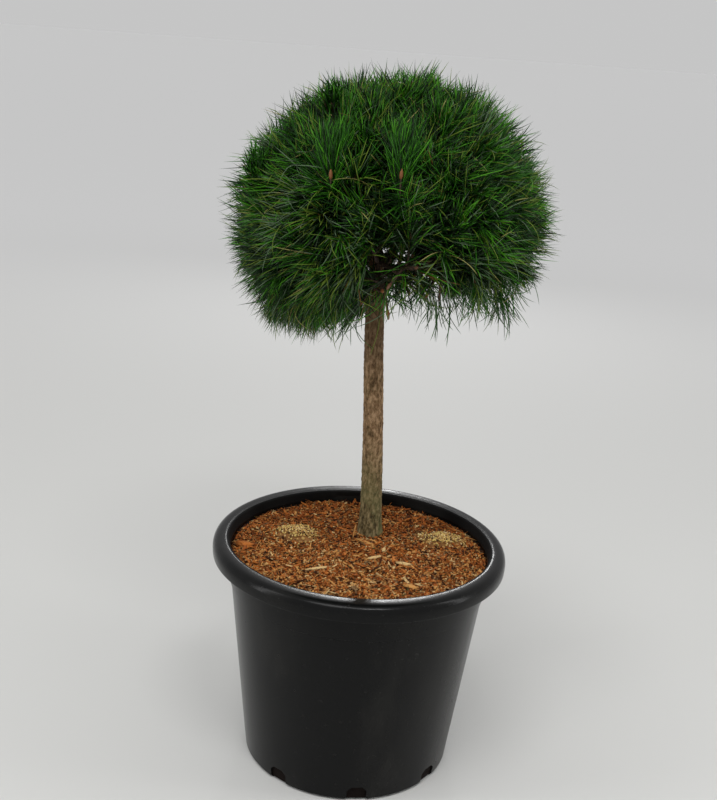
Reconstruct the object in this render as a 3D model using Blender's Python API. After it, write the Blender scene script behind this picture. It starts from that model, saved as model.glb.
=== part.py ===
"""Mugo pine grafted on a clear stem, standing in a round nursery pot.

Metres, +Z up. The origin is the middle of the pot's flat underside. The trunk
stands a little behind the pot's middle, and the crown is a dome of boughs that
each carry one mass of needle-bearing shoots.
"""

import math
import random

import bmesh
import bpy
from mathutils import Matrix, Vector

SEED = 29
GAP = 0.0003
GOLDEN_ANGLE = math.pi * (3 - math.sqrt(5))

# Pot
POT_HEIGHT = 0.3117
POT_BASE_RADIUS = 0.1415
POT_TAPER = 0.116
POT_WALL = 0.0025
POT_FLOOR = 0.003
POT_SIDES = 44
RIM_RADIUS = 0.197
RIM_ROLL = 0.0104
RIM_SKIRT_BOTTOM = 0.2905
RIM_SHOULDER_DROP = 0.014
COLLAR_BOTTOM = 0.251
COLLAR_STEP = 0.0018
COLLAR_RADIUS = 0.1778

# Drainage notches in the foot of the wall
NOTCH_COUNT = 8
NOTCH_FIRST_DEG = 6.0
NOTCH_WIDTH = 0.026
NOTCH_HEIGHT = 0.022
NOTCH_CORNER = 0.006
NOTCH_DEPTH = 0.013

# Growing medium and the two heaps of fertiliser granules on it
MEDIUM_TOP = 0.293
MEDIUM_FLAT_RADIUS = 0.166
MEDIUM_EDGE_DROP = 0.003
HEAPS = {
    "fertiliser_heap_left": {"middle": (-0.086, 0.038), "half_size": (0.030, 0.027), "height": 0.011},
    "fertiliser_heap_right": {"middle": (0.115, 0.049), "half_size": (0.034, 0.023), "height": 0.007},
}
HEAP_SIDES = 18
HEAP_RINGS = 3

# Trunk: where its middle lies at the medium and at its tip, then its girth at heights above the medium
TRUNK_FOOT = Vector((0.0152, 0.0600))
TRUNK_HEAD = Vector((-0.0040, 0.0540))
TRUNK_SIDES = 14
TRUNK_GIRTH = [
    (0.0, 0.0180), (0.006, 0.0168), (0.022, 0.0155), (0.06, 0.0146), (0.15, 0.0137),
    (0.23, 0.0132), (0.307, 0.0127), (0.334, 0.0130), (0.357, 0.0113), (0.382, 0.0090), (0.413, 0.0060),
]
TRUNK_SWAY = 0.0012

# Boughs: how many in a whorl, where they leave the trunk, and how they rise
FORK_Z = 0.690
BOUGH_REACH = 0.055
WHORLS = {
    "lower": {"count": 7, "root_z": 0.644, "stagger": 0.006, "girth": 0.0046, "rise_deg": 3, "turn_deg": 12},
    "upper": {"count": 5, "root_z": 0.675, "stagger": 0.003, "girth": 0.0044, "rise_deg": 41, "turn_deg": 34},
}
BOUGH_DIP_DEG = 8
BOUGH_SAG = 0.12
BOUGH_TIP_GIRTH = 0.0034
BOUGH_SIDES = 8
BOUGH_STATIONS = 4

# Crown outline to the furthest needle tips, as reach from its middle. The crown leans, so that its +X
# side stands higher, and its skirt hangs lower towards one bearing than away from it.
CROWN_MIDDLE = Vector((0.0119, 0.0540, 0.7131))
CROWN_LEAN_DEG = 4.0
CROWN_HALF_WIDTH = 0.2200
CROWN_RISE = 0.2222
CROWN_RISE_POWER = 2.25
CROWN_DROP = 0.1205
CROWN_DROP_POWER = 2.35
SKIRT_SWING = 0.37
SKIRT_BEARING_DEG = 139.0
HOLLOW_FROM_DEG = 50.0
HOLLOW_BAND_DEG = 16.0
HOLLOW_DEPTH = 0.5
# Tufts that stand out of that outline, and bays between them, as shares of the reach
LOBES = [
    {"bearing_deg": 183, "rise_deg": 14, "swell": 0.035}, {"bearing_deg": 178, "rise_deg": 60, "swell": -0.025},
    {"bearing_deg": -36, "rise_deg": -13, "swell": 0.115}, {"bearing_deg": -62, "rise_deg": -16, "swell": -0.030},
    {"bearing_deg": 187, "rise_deg": -9, "swell": -0.035}, {"bearing_deg": 177, "rise_deg": -59, "swell": 0.030},
]
LOBE_SPREAD_DEG = 11.0

# Shoots and needles
SHOOT_COUNT = 96
SHOOT_LOWEST_DEG = -47.0
SHOOT_INSET = 0.052
SHOOT_GIRTH = 0.0050
SHOOT_SIDES = 4
TWIG_GIRTH = 0.0030
TWIG_SIDES = 3
TWIGS_PER_STEM = 3
STEM_REACH = 0.080
NEEDLES_PER_SHOOT = 7
NEEDLE_LENGTH = 0.064
NEEDLE_SHORTEST = 0.030
NEEDLE_GIRTH = 0.0022
NEEDLE_SPREAD_DEG = (66.0, 8.0)
NEEDLE_FIRST = 0.1
NEEDLE_LAST = 0.96
CORE_REACH = 0.088
CORE_RADIUS = 0.062
CORE_INSET = 0.078
CORE_ROUGHNESS = 0.42
CORE_PAST_TIP = 0.006
SPACE_MARGIN = 0.0012
LIMB_MARGIN = 0.0010


def clear_scene():
    """Start from an empty scene."""
    for thing in list(bpy.data.objects):
        bpy.data.objects.remove(thing, do_unlink=True)


def finish(name, colour, roughness, metallic=0.0):
    """A plain surface finish."""
    material = bpy.data.materials.new(name)
    material.use_nodes = True
    shader = material.node_tree.nodes["Principled BSDF"]
    shader.inputs["Base Color"].default_value = (*colour, 1.0)
    shader.inputs["Roughness"].default_value = roughness
    shader.inputs["Metallic"].default_value = metallic
    return material


def place(name, bm, material, smooth=False):
    """Turn a bmesh into a named object of one material."""
    bmesh.ops.recalc_face_normals(bm, faces=bm.faces)
    mesh = bpy.data.meshes.new(name)
    bm.to_mesh(mesh)
    bm.free()
    mesh.materials.append(material)
    if smooth:
        mesh.shade_smooth()
        mesh.set_sharp_from_angle(angle=math.radians(40))
    thing = bpy.data.objects.new(name, mesh)
    bpy.context.scene.collection.objects.link(thing)
    return thing


def turned(bm, outline, sides):
    """Spin an outline of radius and height pairs about the Z axis."""
    verts = [bm.verts.new((radius, 0.0, height)) for radius, height in outline]
    edges = [bm.edges.new(pair) for pair in zip(verts, verts[1:])]
    bmesh.ops.spin(bm, geom=verts + edges, cent=(0, 0, 0), axis=(0, 0, 1), angle=2 * math.pi,
                   steps=sides, use_merge=True)
    bmesh.ops.remove_doubles(bm, verts=bm.verts, dist=1e-6)


def arc(middle, half_axes, start_deg, end_deg, steps):
    """Points along part of an ellipse, as radius and height pairs."""
    points = []
    for step in range(steps + 1):
        angle = math.radians(start_deg + (end_deg - start_deg) * step / steps)
        across = middle[0] + half_axes[0] * math.cos(angle)
        points.append((across, middle[1] + half_axes[1] * math.sin(angle)))
    return points


def wall_radius(height):
    """Outer radius of the tapered wall at a height."""
    return POT_BASE_RADIUS + POT_TAPER * height


def inner_radius(height):
    """Inner radius of the pot at a height."""
    return wall_radius(height) - POT_WALL


def pot_outline():
    """Section of the pot from the middle of its underside round to the middle of its floor."""
    shoulder = POT_HEIGHT - RIM_SHOULDER_DROP
    crest = RIM_RADIUS - RIM_ROLL
    lip = POT_HEIGHT - RIM_ROLL
    skirt_inside = RIM_RADIUS - POT_WALL
    groove_top = POT_HEIGHT - 2 * POT_WALL
    outline = [(0.0, 0.0), (POT_BASE_RADIUS - 0.004, 0.0), (wall_radius(0.004), 0.004)]
    outline += [(wall_radius(COLLAR_BOTTOM), COLLAR_BOTTOM)]
    outline += [(wall_radius(COLLAR_BOTTOM) + COLLAR_STEP, COLLAR_BOTTOM + COLLAR_STEP)]
    outline += [(COLLAR_RADIUS, RIM_SKIRT_BOTTOM), (COLLAR_RADIUS + 0.001, groove_top)]
    outline += [(skirt_inside - 0.003, groove_top), (skirt_inside, groove_top - 0.005)]
    outline += [(skirt_inside - 0.001, RIM_SKIRT_BOTTOM + 0.001), (RIM_RADIUS - 0.0015, RIM_SKIRT_BOTTOM)]
    outline += arc((crest, shoulder), (RIM_ROLL, RIM_SHOULDER_DROP), 0, 90, 4)
    outline += arc((crest, lip), (crest - inner_radius(lip), RIM_ROLL), 90, 180, 3)[1:]
    outline += [(inner_radius(POT_FLOOR), POT_FLOOR), (0.0, POT_FLOOR)]
    return outline


def notch_cutter():
    """Eight wedges with clipped upper corners that open the foot of the wall."""
    bm = bmesh.new()
    half = NOTCH_WIDTH / 2
    clipped = half - NOTCH_CORNER
    shoulder = NOTCH_HEIGHT - NOTCH_CORNER
    section = [(-half, -0.01), (half, -0.01), (half, shoulder)]
    section += [(clipped, NOTCH_HEIGHT), (-clipped, NOTCH_HEIGHT), (-half, shoulder)]
    start = POT_BASE_RADIUS - NOTCH_DEPTH
    for number in range(NOTCH_COUNT):
        face = bm.faces.new([bm.verts.new((start, across, up)) for across, up in section])
        pushed = bmesh.ops.extrude_face_region(bm, geom=[face])["geom"]
        moved = [item for item in pushed if isinstance(item, bmesh.types.BMVert)]
        bmesh.ops.translate(bm, verts=moved, vec=(0.04, 0, 0))
        turn = Matrix.Rotation(math.radians(NOTCH_FIRST_DEG + 360 * number / NOTCH_COUNT), 3, "Z")
        bmesh.ops.rotate(bm, verts=list(face.verts) + moved, cent=(0, 0, 0), matrix=turn)
    cutter = place("drainage_notch_cutter", bm, FINISHES["pot"])
    cutter.hide_render = True
    cutter.display_type = "WIRE"
    return cutter


def make_pot():
    """The pot: a turned shell with a rolled rim, a collar and drainage notches."""
    bm = bmesh.new()
    turned(bm, pot_outline(), POT_SIDES)
    pot = place("pot", bm, FINISHES["pot"], smooth=True)
    cut = pot.modifiers.new("drainage_notches", "BOOLEAN")
    cut.operation = "DIFFERENCE"
    cut.solver = "EXACT"
    cut.object = notch_cutter()


def make_medium():
    """The bark and coir that fills the pot, level round the stem and a little lower at the wall."""
    foot = POT_FLOOR + GAP
    edge = MEDIUM_TOP - MEDIUM_EDGE_DROP
    outline = [(0.0, foot), (inner_radius(foot) - GAP, foot), (inner_radius(edge) - GAP, edge)]
    outline += [(MEDIUM_FLAT_RADIUS, MEDIUM_TOP), (0.0, MEDIUM_TOP)]
    bm = bmesh.new()
    turned(bm, outline, POT_SIDES)
    place("growing_medium", bm, FINISHES["medium"])


def make_heap(name, middle, half_size, height):
    """One low heap of granules, flat underneath."""
    bm = bmesh.new()
    turned(bm, [(0.0, 0.0)] + arc((0, 0), (1, 1), 0, 90, HEAP_RINGS), HEAP_SIDES)
    spot = Vector((middle[0], middle[1], MEDIUM_TOP + GAP))
    bmesh.ops.scale(bm, verts=bm.verts, vec=(half_size[0], half_size[1], height))
    bmesh.ops.translate(bm, verts=bm.verts, vec=spot)
    place(name, bm, FINISHES["fertiliser"])


def stations(path, girths):
    """A placing matrix for each point of a path: square to it, untwisted and scaled to its girth."""
    ahead = (path[1] - path[0]).normalized()
    turn = ahead.to_track_quat("Z", "Y")
    for index, (point, girth) in enumerate(zip(path, girths)):
        before = path[max(index - 1, 0)]
        after = path[min(index + 1, len(path) - 1)]
        heading = (after - before).normalized()
        turn = ahead.rotation_difference(heading) @ turn
        ahead = heading
        yield Matrix.Translation(point) @ turn.to_matrix().to_4x4() @ Matrix.Scale(girth, 4)


def limb(bm, path, girths, sides):
    """A tapering limb: a ring extruded from point to point and closed flat at both ends."""
    placings = list(stations(path, girths))
    ring = bmesh.ops.create_circle(bm, segments=sides, radius=1.0, cap_ends=True)["verts"]
    bmesh.ops.transform(bm, matrix=placings[0], verts=ring)
    face = ring[0].link_faces[0]
    for last, following in zip(placings, placings[1:]):
        grown = bmesh.ops.extrude_face_region(bm, geom=[face])["geom"]
        moved = [item for item in grown if isinstance(item, bmesh.types.BMVert)]
        bmesh.ops.transform(bm, matrix=following @ last.inverted(), verts=moved)
        if last is not placings[0]:
            bmesh.ops.delete(bm, geom=[face], context="FACES_ONLY")
        face = next(item for item in grown if isinstance(item, bmesh.types.BMFace))


def trunk_path():
    """Middle line of the trunk, with a slight sway, and its girth."""
    path = []
    for up, _ in TRUNK_GIRTH:
        share = up / TRUNK_GIRTH[-1][0]
        flat = TRUNK_FOOT.lerp(TRUNK_HEAD, share)
        sway = TRUNK_SWAY * math.sin(share * 2 * math.pi)
        path.append(Vector((flat.x + sway, flat.y, MEDIUM_TOP + GAP + up)))
    return path, [girth for _, girth in TRUNK_GIRTH]


def trunk_middle(height):
    """Middle of the trunk at a height."""
    path, _ = trunk_path()
    for low, high in zip(path, path[1:]):
        if low.z <= height <= high.z:
            return low.lerp(high, (height - low.z) / (high.z - low.z))
    raise ValueError("the trunk has no such height")


def make_trunk():
    """The stem: flared at the ground, nearly straight, swollen at the graft and tapered to its tip."""
    path, girths = trunk_path()
    bm = bmesh.new()
    limb(bm, path, girths, TRUNK_SIDES)
    for vert in bm.verts:
        if vert.co.z < (path[0].z + path[1].z) / 2:
            vert.co.z = path[0].z
    place("trunk", bm, FINISHES["bark"], smooth=True)


def make_trunk_clearance():
    """The trunk one gap larger all round, which trims the roots of the boughs."""
    path, girths = trunk_path()
    bm = bmesh.new()
    limb(bm, path, [girth + GAP for girth in girths], TRUNK_SIDES)
    clearance = place("trunk_clearance", bm, FINISHES["bark"])
    clearance.hide_render = True
    clearance.display_type = "WIRE"
    return clearance


def heading_of(bearing_deg, rise_deg):
    """Unit vector from a bearing and an angle above the level."""
    bearing = math.radians(bearing_deg)
    rise = math.radians(rise_deg)
    return Vector((math.cos(rise) * math.cos(bearing), math.cos(rise) * math.sin(bearing), math.sin(rise)))


def plan_crown():
    """Each mass's name, its own direction from the fork, and the bough that carries it."""
    fork = trunk_middle(FORK_Z)
    tip = trunk_path()[0][-1]
    up = Vector((0, 0, 1))
    plan = [{"name": "foliage_top", "axis": up, "bough": None, "tip": tip, "leaving": up}]
    for whorl, rule in WHORLS.items():
        for number in range(rule["count"]):
            bearing = rule["turn_deg"] + 360 * number / rule["count"]
            axis = heading_of(bearing, rule["rise_deg"])
            stagger = rule["stagger"] * (1 if number % 2 else -1)
            root = trunk_middle(rule["root_z"] + stagger)
            end = fork + BOUGH_REACH * heading_of(bearing, rule["rise_deg"] - BOUGH_DIP_DEG)
            path = bough_path(root, end)
            plan.append({
                "name": f"foliage_{whorl}_{number + 1}", "axis": axis,
                "tip": end, "leaving": (path[-1] - path[-2]).normalized(),
                "bough": {"name": f"bough_{whorl}_{number + 1}", "path": path, "girth": rule["girth"]},
            })
    return fork, plan


def bough_path(root, end):
    """A bough's middle line: it leaves the trunk low and turns up towards its mass."""
    span = end - root
    knee = root + 0.5 * span - Vector((0, 0, BOUGH_SAG * span.length))
    shares = [step / BOUGH_STATIONS for step in range(BOUGH_STATIONS + 1)]
    return [root.lerp(knee, share).lerp(knee.lerp(end, share), share) for share in shares]


def bough_girths(girth):
    """Girths along a bough, from the trunk to its tip."""
    shares = [step / BOUGH_STATIONS for step in range(BOUGH_STATIONS + 1)]
    return [girth + (BOUGH_TIP_GIRTH - girth) * share for share in shares]


def make_bough(bough, clearance):
    """One bough, its root shaped to the trunk it grows from."""
    bm = bmesh.new()
    limb(bm, bough["path"], bough_girths(bough["girth"]), BOUGH_SIDES)
    thing = place(bough["name"], bm, FINISHES["bark"], smooth=True)
    trim = thing.modifiers.new("seat_on_trunk", "BOOLEAN")
    trim.operation = "DIFFERENCE"
    trim.solver = "EXACT"
    trim.object = clearance


def lobe_swell(direction):
    """How far single tufts stand out of the crown in a direction, as a share of its reach."""
    swell = 0.0
    for lobe in LOBES:
        away = direction.angle(heading_of(lobe["bearing_deg"], lobe["rise_deg"]))
        swell += lobe["swell"] * math.exp(-(away / math.radians(LOBE_SPREAD_DEG)) ** 2)
    return swell


def crown_reach(direction):
    """How far the crown's outline lies from its middle in a direction."""
    own = Matrix.Rotation(math.radians(CROWN_LEAN_DEG), 3, "Y") @ direction
    up = own.z
    out = math.hypot(own.x, own.y)
    swing = math.cos(math.atan2(own.y, own.x) - math.radians(SKIRT_BEARING_DEG))
    drop = CROWN_DROP * (1 + SKIRT_SWING * swing)
    rise, power = (CROWN_RISE, CROWN_RISE_POWER) if up >= 0 else (drop, CROWN_DROP_POWER)
    reach = ((out / CROWN_HALF_WIDTH) ** power + (abs(up) / rise) ** power) ** (-1 / power)
    below = (-math.degrees(math.asin(max(-1.0, min(1.0, up)))) - HOLLOW_FROM_DEG) / HOLLOW_BAND_DEG
    below = max(0.0, min(1.0, below))
    return reach * (1 - HOLLOW_DEPTH * below * below * (3 - 2 * below)) * (1 + lobe_swell(direction))


def inside_crown(point):
    """Whether a point lies within the crown's outline."""
    offset = point - CROWN_MIDDLE
    return offset.length <= crown_reach(offset.normalized())


def own_space(point, mass):
    """How far a point lies inside its mass's own space, and the way further in."""
    least = (math.inf, None)
    for normal in mass["walls"]:
        depth = (point - mass["fork"]).dot(normal)
        if depth < least[0]:
            least = (depth, normal)
    return least


def set_walls(fork, plan):
    """Bound each mass's space by the planes halfway to its neighbours' directions."""
    for mass in plan:
        others = [other for other in plan if other is not mass]
        mass["fork"] = fork
        mass["walls"] = [(mass["axis"] - other["axis"]).normalized() for other in others]


def pushed_inside(point, mass, margin):
    """Move a point until it lies a margin inside its mass's space."""
    point = point.copy()
    for _ in range(12):
        depth, normal = own_space(point, mass)
        if depth >= margin:
            break
        point += normal * (margin - depth)
    return point


def shoot_tips(plan, fork):
    """Spread the shoot tips evenly under the crown's outline and deal them to the masses."""
    lowest = math.sin(math.radians(SHOOT_LOWEST_DEG))
    for mass in plan:
        mass["tips"] = []
    for number in range(SHOOT_COUNT):
        up = 1 - (number + 0.5) / SHOOT_COUNT * (1 - lowest)
        out = math.sqrt(1 - up * up)
        bearing = number * GOLDEN_ANGLE
        direction = Vector((out * math.cos(bearing), out * math.sin(bearing), up))
        tip = CROWN_MIDDLE + direction * (crown_reach(direction) - SHOOT_INSET)
        owner = max(plan, key=lambda mass: (tip - fork).normalized().dot(mass["axis"]))
        owner["tips"].append(pushed_inside(tip, owner, SHOOT_GIRTH + 3 * SPACE_MARGIN))


def limb_pieces(plan):
    """Every stretch of trunk and bough, as two ends and a girth, for the needles to keep clear of."""
    path, girths = trunk_path()
    pieces = list(zip(path, path[1:], girths))
    for mass in plan:
        if mass["bough"]:
            path = mass["bough"]["path"]
            pieces += list(zip(path, path[1:], bough_girths(mass["bough"]["girth"])))
    return pieces


def clear_of_limbs(start, end, girth, pieces):
    """Whether a straight piece keeps clear of the trunk and every bough."""
    for low, high, thickness in pieces:
        span = high - low
        for step in range(9):
            point = start.lerp(end, step / 8)
            share = max(0.0, min(1.0, (point - low).dot(span) / span.length_squared))
            if (point - low - span * share).length < thickness + girth + LIMB_MARGIN:
                return False
    return True


def shape(bm):
    """A loose closed shape, waiting to be fused into a mass."""
    return place("piece", bm, FINISHES["needles"])


def spike(start, end, girth):
    """A three-sided needle from its root to its tip."""
    bm = bmesh.new()
    span = end - start
    turn = span.to_track_quat("Z", "Y").to_matrix().to_4x4()
    matrix = Matrix.Translation((start + end) / 2) @ turn
    bmesh.ops.create_cone(bm, cap_ends=True, segments=3, radius1=girth, radius2=0.0, depth=span.length,
                          matrix=matrix)
    return bm


def tube(path, girths, sides):
    """A limb in a bmesh of its own."""
    bm = bmesh.new()
    limb(bm, path, girths, sides)
    return bm


def curved(start, heading, end, steps):
    """A path that leaves along a heading and bends round to its end."""
    knee = start + heading * (end - start).length * 0.5
    shares = [step / steps for step in range(steps + 1)]
    return [start.lerp(knee, share).lerp(knee.lerp(end, share), share) for share in shares]


def grow_needles(path, mass, pieces, chance):
    """Needles round one shoot, wide apart at its foot and close to its line at its tip."""
    foot, tip = path[0], path[-1]
    line = (tip - foot).normalized()
    side = line.orthogonal().normalized()
    grown = []
    turn = chance.uniform(0, 2 * math.pi)
    for number in range(NEEDLES_PER_SHOOT * 3):
        if len(grown) == NEEDLES_PER_SHOOT:
            break
        rank = number % NEEDLES_PER_SHOOT / (NEEDLES_PER_SHOOT - 1)
        share = NEEDLE_LAST + (NEEDLE_FIRST - NEEDLE_LAST) * rank
        spread = math.radians(NEEDLE_SPREAD_DEG[0] + (NEEDLE_SPREAD_DEG[1] - NEEDLE_SPREAD_DEG[0]) * share)
        turn += GOLDEN_ANGLE
        around = Matrix.Rotation(turn, 3, line) @ side
        heading = line * math.cos(spread) + around * math.sin(spread)
        root = foot.lerp(tip, share)
        length = NEEDLE_LENGTH * chance.uniform(0.88, 1.12)
        while length > NEEDLE_SHORTEST and not inside_crown(root + heading * length):
            length *= 0.98
        end = root + heading * length
        if length <= NEEDLE_SHORTEST or not clear_of_limbs(root, end, NEEDLE_GIRTH, pieces):
            continue
        needle = spike(root, end, NEEDLE_GIRTH)
        if min(own_space(vert.co, mass)[0] for vert in needle.verts) < SPACE_MARGIN:
            needle.free()
            continue
        grown.append(shape(needle))
    return grown


def core_fits(spot, mass, pieces):
    """Whether the skin of a mass's heart may reach a spot."""
    if (spot - mass["tip"]).dot(mass["leaving"]) < CORE_PAST_TIP:
        return False
    offset = spot - CROWN_MIDDLE
    if offset.length > crown_reach(offset.normalized()) - CORE_INSET:
        return False
    if own_space(spot, mass)[0] < 2 * SPACE_MARGIN:
        return False
    return clear_of_limbs(spot, spot, 4 * LIMB_MARGIN, pieces)


def grow_core(mass, middle, pieces, chance):
    """The dense heart of a mass, held back from its neighbours and from every limb."""
    bm = bmesh.new()
    bmesh.ops.create_icosphere(bm, subdivisions=2, radius=CORE_RADIUS)
    for vert in bm.verts:
        share = 1.0
        while share > 0.2 and not core_fits(middle + vert.co * share, mass, pieces):
            share -= 0.02
        vert.co = middle + vert.co * share * chance.uniform(1 - CORE_ROUGHNESS, 1)
    return shape(bm)


def grow_mass(mass, pieces, chance):
    """One mass of foliage: a stem, its twigs, their shoots and the needles, fused into one solid."""
    axis = mass["axis"]
    tip = mass["tip"]
    girth = BOUGH_TIP_GIRTH if mass["bough"] else TRUNK_GIRTH[-1][1]
    node = mass["fork"] + axis * STEM_REACH
    stem_path = [tip + mass["leaving"] * GAP, tip + mass["leaving"] * 0.008, node]
    shapes = [shape(tube(stem_path, [girth, girth, girth * 0.9], BOUGH_SIDES))]
    shapes.append(grow_core(mass, mass["fork"] + axis * CORE_REACH, pieces, chance))

    across = axis.orthogonal().normalized()
    beside = axis.cross(across)

    def bearing(end):
        return math.atan2((end - node).dot(beside), (end - node).dot(across))

    around = sorted(mass["tips"], key=bearing)
    each = math.ceil(len(around) / TWIGS_PER_STEM)
    for first in range(0, len(around), each):
        ends = around[first:first + each]
        centre = sum(ends, Vector()) / len(ends)
        fork = pushed_inside(node.lerp(centre, 0.42), mass, TWIG_GIRTH + 2 * SPACE_MARGIN)
        shapes.append(shape(tube([node, fork], [TWIG_GIRTH * 1.2, TWIG_GIRTH], TWIG_SIDES)))
        for end in ends:
            bend = (fork - node).normalized().lerp((end - fork).normalized(), 0.6).normalized()
            line = curved(fork - bend * 0.004, bend, end, 2)
            line = [pushed_inside(point, mass, SHOOT_GIRTH + SPACE_MARGIN) for point in line]
            shapes.append(shape(tube(line, [TWIG_GIRTH, SHOOT_GIRTH, SHOOT_GIRTH * 0.6], SHOOT_SIDES)))
            shapes += grow_needles(line[-2:], mass, pieces, chance)
    return fuse(mass["name"], shapes)


def fuse(name, shapes):
    """Join overlapping closed shapes into one solid with one union."""
    base = shapes[0]
    group = bpy.data.collections.new(f"{name}_pieces")
    for piece in shapes[1:]:
        group.objects.link(piece)
    union = base.modifiers.new("fused", "BOOLEAN")
    union.operation = "UNION"
    union.solver = "MANIFOLD"
    union.operand_type = "COLLECTION"
    union.collection = group
    joined = base.evaluated_get(bpy.context.evaluated_depsgraph_get())
    bm = bmesh.new()
    bm.from_mesh(joined.data)
    for piece in shapes:
        bpy.data.objects.remove(piece, do_unlink=True)
    bpy.data.collections.remove(group)
    keep_largest(bm)
    return place(name, bm, FINISHES["needles"])


def keep_largest(bm):
    """Drop loose scraps, and the skins of sealed hollows, so that one closed body is left."""
    bodies = []
    seen = set()
    for seed in bm.faces:
        if seed in seen:
            continue
        body, edge = [], [seed]
        seen.add(seed)
        while edge:
            face = edge.pop()
            body.append(face)
            for near in (link for side in face.edges for link in side.link_faces if link not in seen):
                seen.add(near)
                edge.append(near)
        bodies.append(body)
    bodies.sort(key=lambda body: sum(face.calc_area() for face in body))
    for body in bodies[:-1]:
        bmesh.ops.delete(bm, geom=body, context="FACES")


clear_scene()
FINISHES = {
    "pot": finish("black_polypropylene", (0.012, 0.013, 0.014), 0.42),
    "medium": finish("bark_and_coir", (0.16, 0.055, 0.022), 0.95),
    "fertiliser": finish("fertiliser_granules", (0.42, 0.29, 0.10), 0.85),
    "bark": finish("pine_bark", (0.13, 0.085, 0.045), 0.9),
    "needles": finish("pine_needles", (0.020, 0.075, 0.016), 0.6),
}
make_pot()
make_medium()
for heap_name, heap in HEAPS.items():
    make_heap(heap_name, **heap)
make_trunk()
trunk_clearance = make_trunk_clearance()
crown_fork, crown_plan = plan_crown()
set_walls(crown_fork, crown_plan)
shoot_tips(crown_plan, crown_fork)
limbs = limb_pieces(crown_plan)
for crown_mass in crown_plan:
    if crown_mass["bough"]:
        make_bough(crown_mass["bough"], trunk_clearance)
    grow_mass(crown_mass, limbs, random.Random(f"{SEED} {crown_mass['name']}"))
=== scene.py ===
# %% [markdown]
# # A mugo pine on a bare stem, in its nursery pot
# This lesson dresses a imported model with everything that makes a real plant: bark, needles in sprays,
# loose bark chips, heaps of fertiliser granules and a satin black pot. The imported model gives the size
# and place of each part, so we load it first and build around it. Every size is in metres, and +Z is up.

# %% Load the frame
import math

import bmesh
import bpy
import numpy as np
from mathutils import Matrix, Vector, noise


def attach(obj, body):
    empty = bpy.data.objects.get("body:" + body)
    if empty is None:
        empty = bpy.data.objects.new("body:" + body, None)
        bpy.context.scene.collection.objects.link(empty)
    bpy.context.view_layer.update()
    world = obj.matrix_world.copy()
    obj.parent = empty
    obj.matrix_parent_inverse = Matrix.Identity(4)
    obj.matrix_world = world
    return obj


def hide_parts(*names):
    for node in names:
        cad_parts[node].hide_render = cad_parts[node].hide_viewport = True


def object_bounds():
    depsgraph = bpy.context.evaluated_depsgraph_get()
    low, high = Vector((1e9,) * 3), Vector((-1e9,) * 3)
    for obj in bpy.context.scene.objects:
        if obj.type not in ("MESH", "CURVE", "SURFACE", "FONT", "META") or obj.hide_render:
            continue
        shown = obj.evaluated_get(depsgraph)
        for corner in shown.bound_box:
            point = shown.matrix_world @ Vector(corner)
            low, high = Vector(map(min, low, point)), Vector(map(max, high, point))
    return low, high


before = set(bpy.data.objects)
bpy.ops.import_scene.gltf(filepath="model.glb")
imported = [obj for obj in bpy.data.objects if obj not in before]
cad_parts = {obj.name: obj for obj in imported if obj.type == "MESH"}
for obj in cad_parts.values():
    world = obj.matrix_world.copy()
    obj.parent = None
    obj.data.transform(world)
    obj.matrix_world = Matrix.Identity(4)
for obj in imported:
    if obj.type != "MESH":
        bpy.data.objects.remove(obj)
cad_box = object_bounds()
print("frame:", len(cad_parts), "nodes, box", [[round(x, 3) for x in corner] for corner in cad_box])

# %% [markdown]
# ## The camera
# A photographer stood a metre and a half away and looked slightly down on the plant, with the camera a
# few degrees off level. We could aim a camera with a Track To constraint, but that can't hold the small
# roll, so we work out the three axes of the view and put them in the camera's own matrix.

# %% Camera
PHOTO_SIZE = (717, 800)
CAMERA_AT = Vector((-0.0547, -1.4024, 0.9482))
CAMERA_PAN = 0.0280
CAMERA_PITCH = 0.3046
CAMERA_ROLL = 0.0718
CAMERA_FOCUS = 1133.1
SENSOR = 36.0


def view_axes():
    """Right, up and forward of the view."""
    ahead = Vector((math.sin(CAMERA_PAN), math.cos(CAMERA_PAN), 0)) * math.cos(CAMERA_PITCH)
    ahead.z = -math.sin(CAMERA_PITCH)
    level = Vector((math.cos(CAMERA_PAN), -math.sin(CAMERA_PAN), 0))
    tilt = level.cross(ahead)
    right = level * math.cos(CAMERA_ROLL) + tilt * math.sin(CAMERA_ROLL)
    return right, right.cross(ahead), ahead


def sight(pixel):
    """Direction from the camera through a pixel of the photograph."""
    right, up, ahead = view_axes()
    across = (pixel[0] - PHOTO_SIZE[0] / 2) / CAMERA_FOCUS
    above = (PHOTO_SIZE[1] / 2 - pixel[1]) / CAMERA_FOCUS
    return (ahead + right * across + up * above).normalized()


def seen_at_height(pixel, height):
    """Where the line of sight through a pixel comes down to a height."""
    line = sight(pixel)
    return CAMERA_AT + line * ((height - CAMERA_AT.z) / line.z)


camera_data = bpy.data.cameras.new("camera")
camera_data.sensor_width = SENSOR
camera_data.lens = CAMERA_FOCUS * SENSOR / max(PHOTO_SIZE)
camera = bpy.data.objects.new("camera", camera_data)
bpy.context.scene.collection.objects.link(camera)
right_of_view, top_of_view, line_of_view = view_axes()
facing = Matrix((right_of_view, top_of_view, -line_of_view)).transposed().to_4x4()
camera.matrix_world = Matrix.Translation(CAMERA_AT) @ facing
bpy.context.scene.camera = camera
print("camera: lens", round(camera_data.lens, 2), "mm")

# %% [markdown]
# ## Shader maths
# Finishes are easier to read as sums than as boxes and wires. A small class wraps an output socket, so
# that `mask * 0.4 + speckle` adds the two Math nodes by itself. One method of the finish adds any other
# kind of node, with its settings first and its inputs after.

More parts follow.
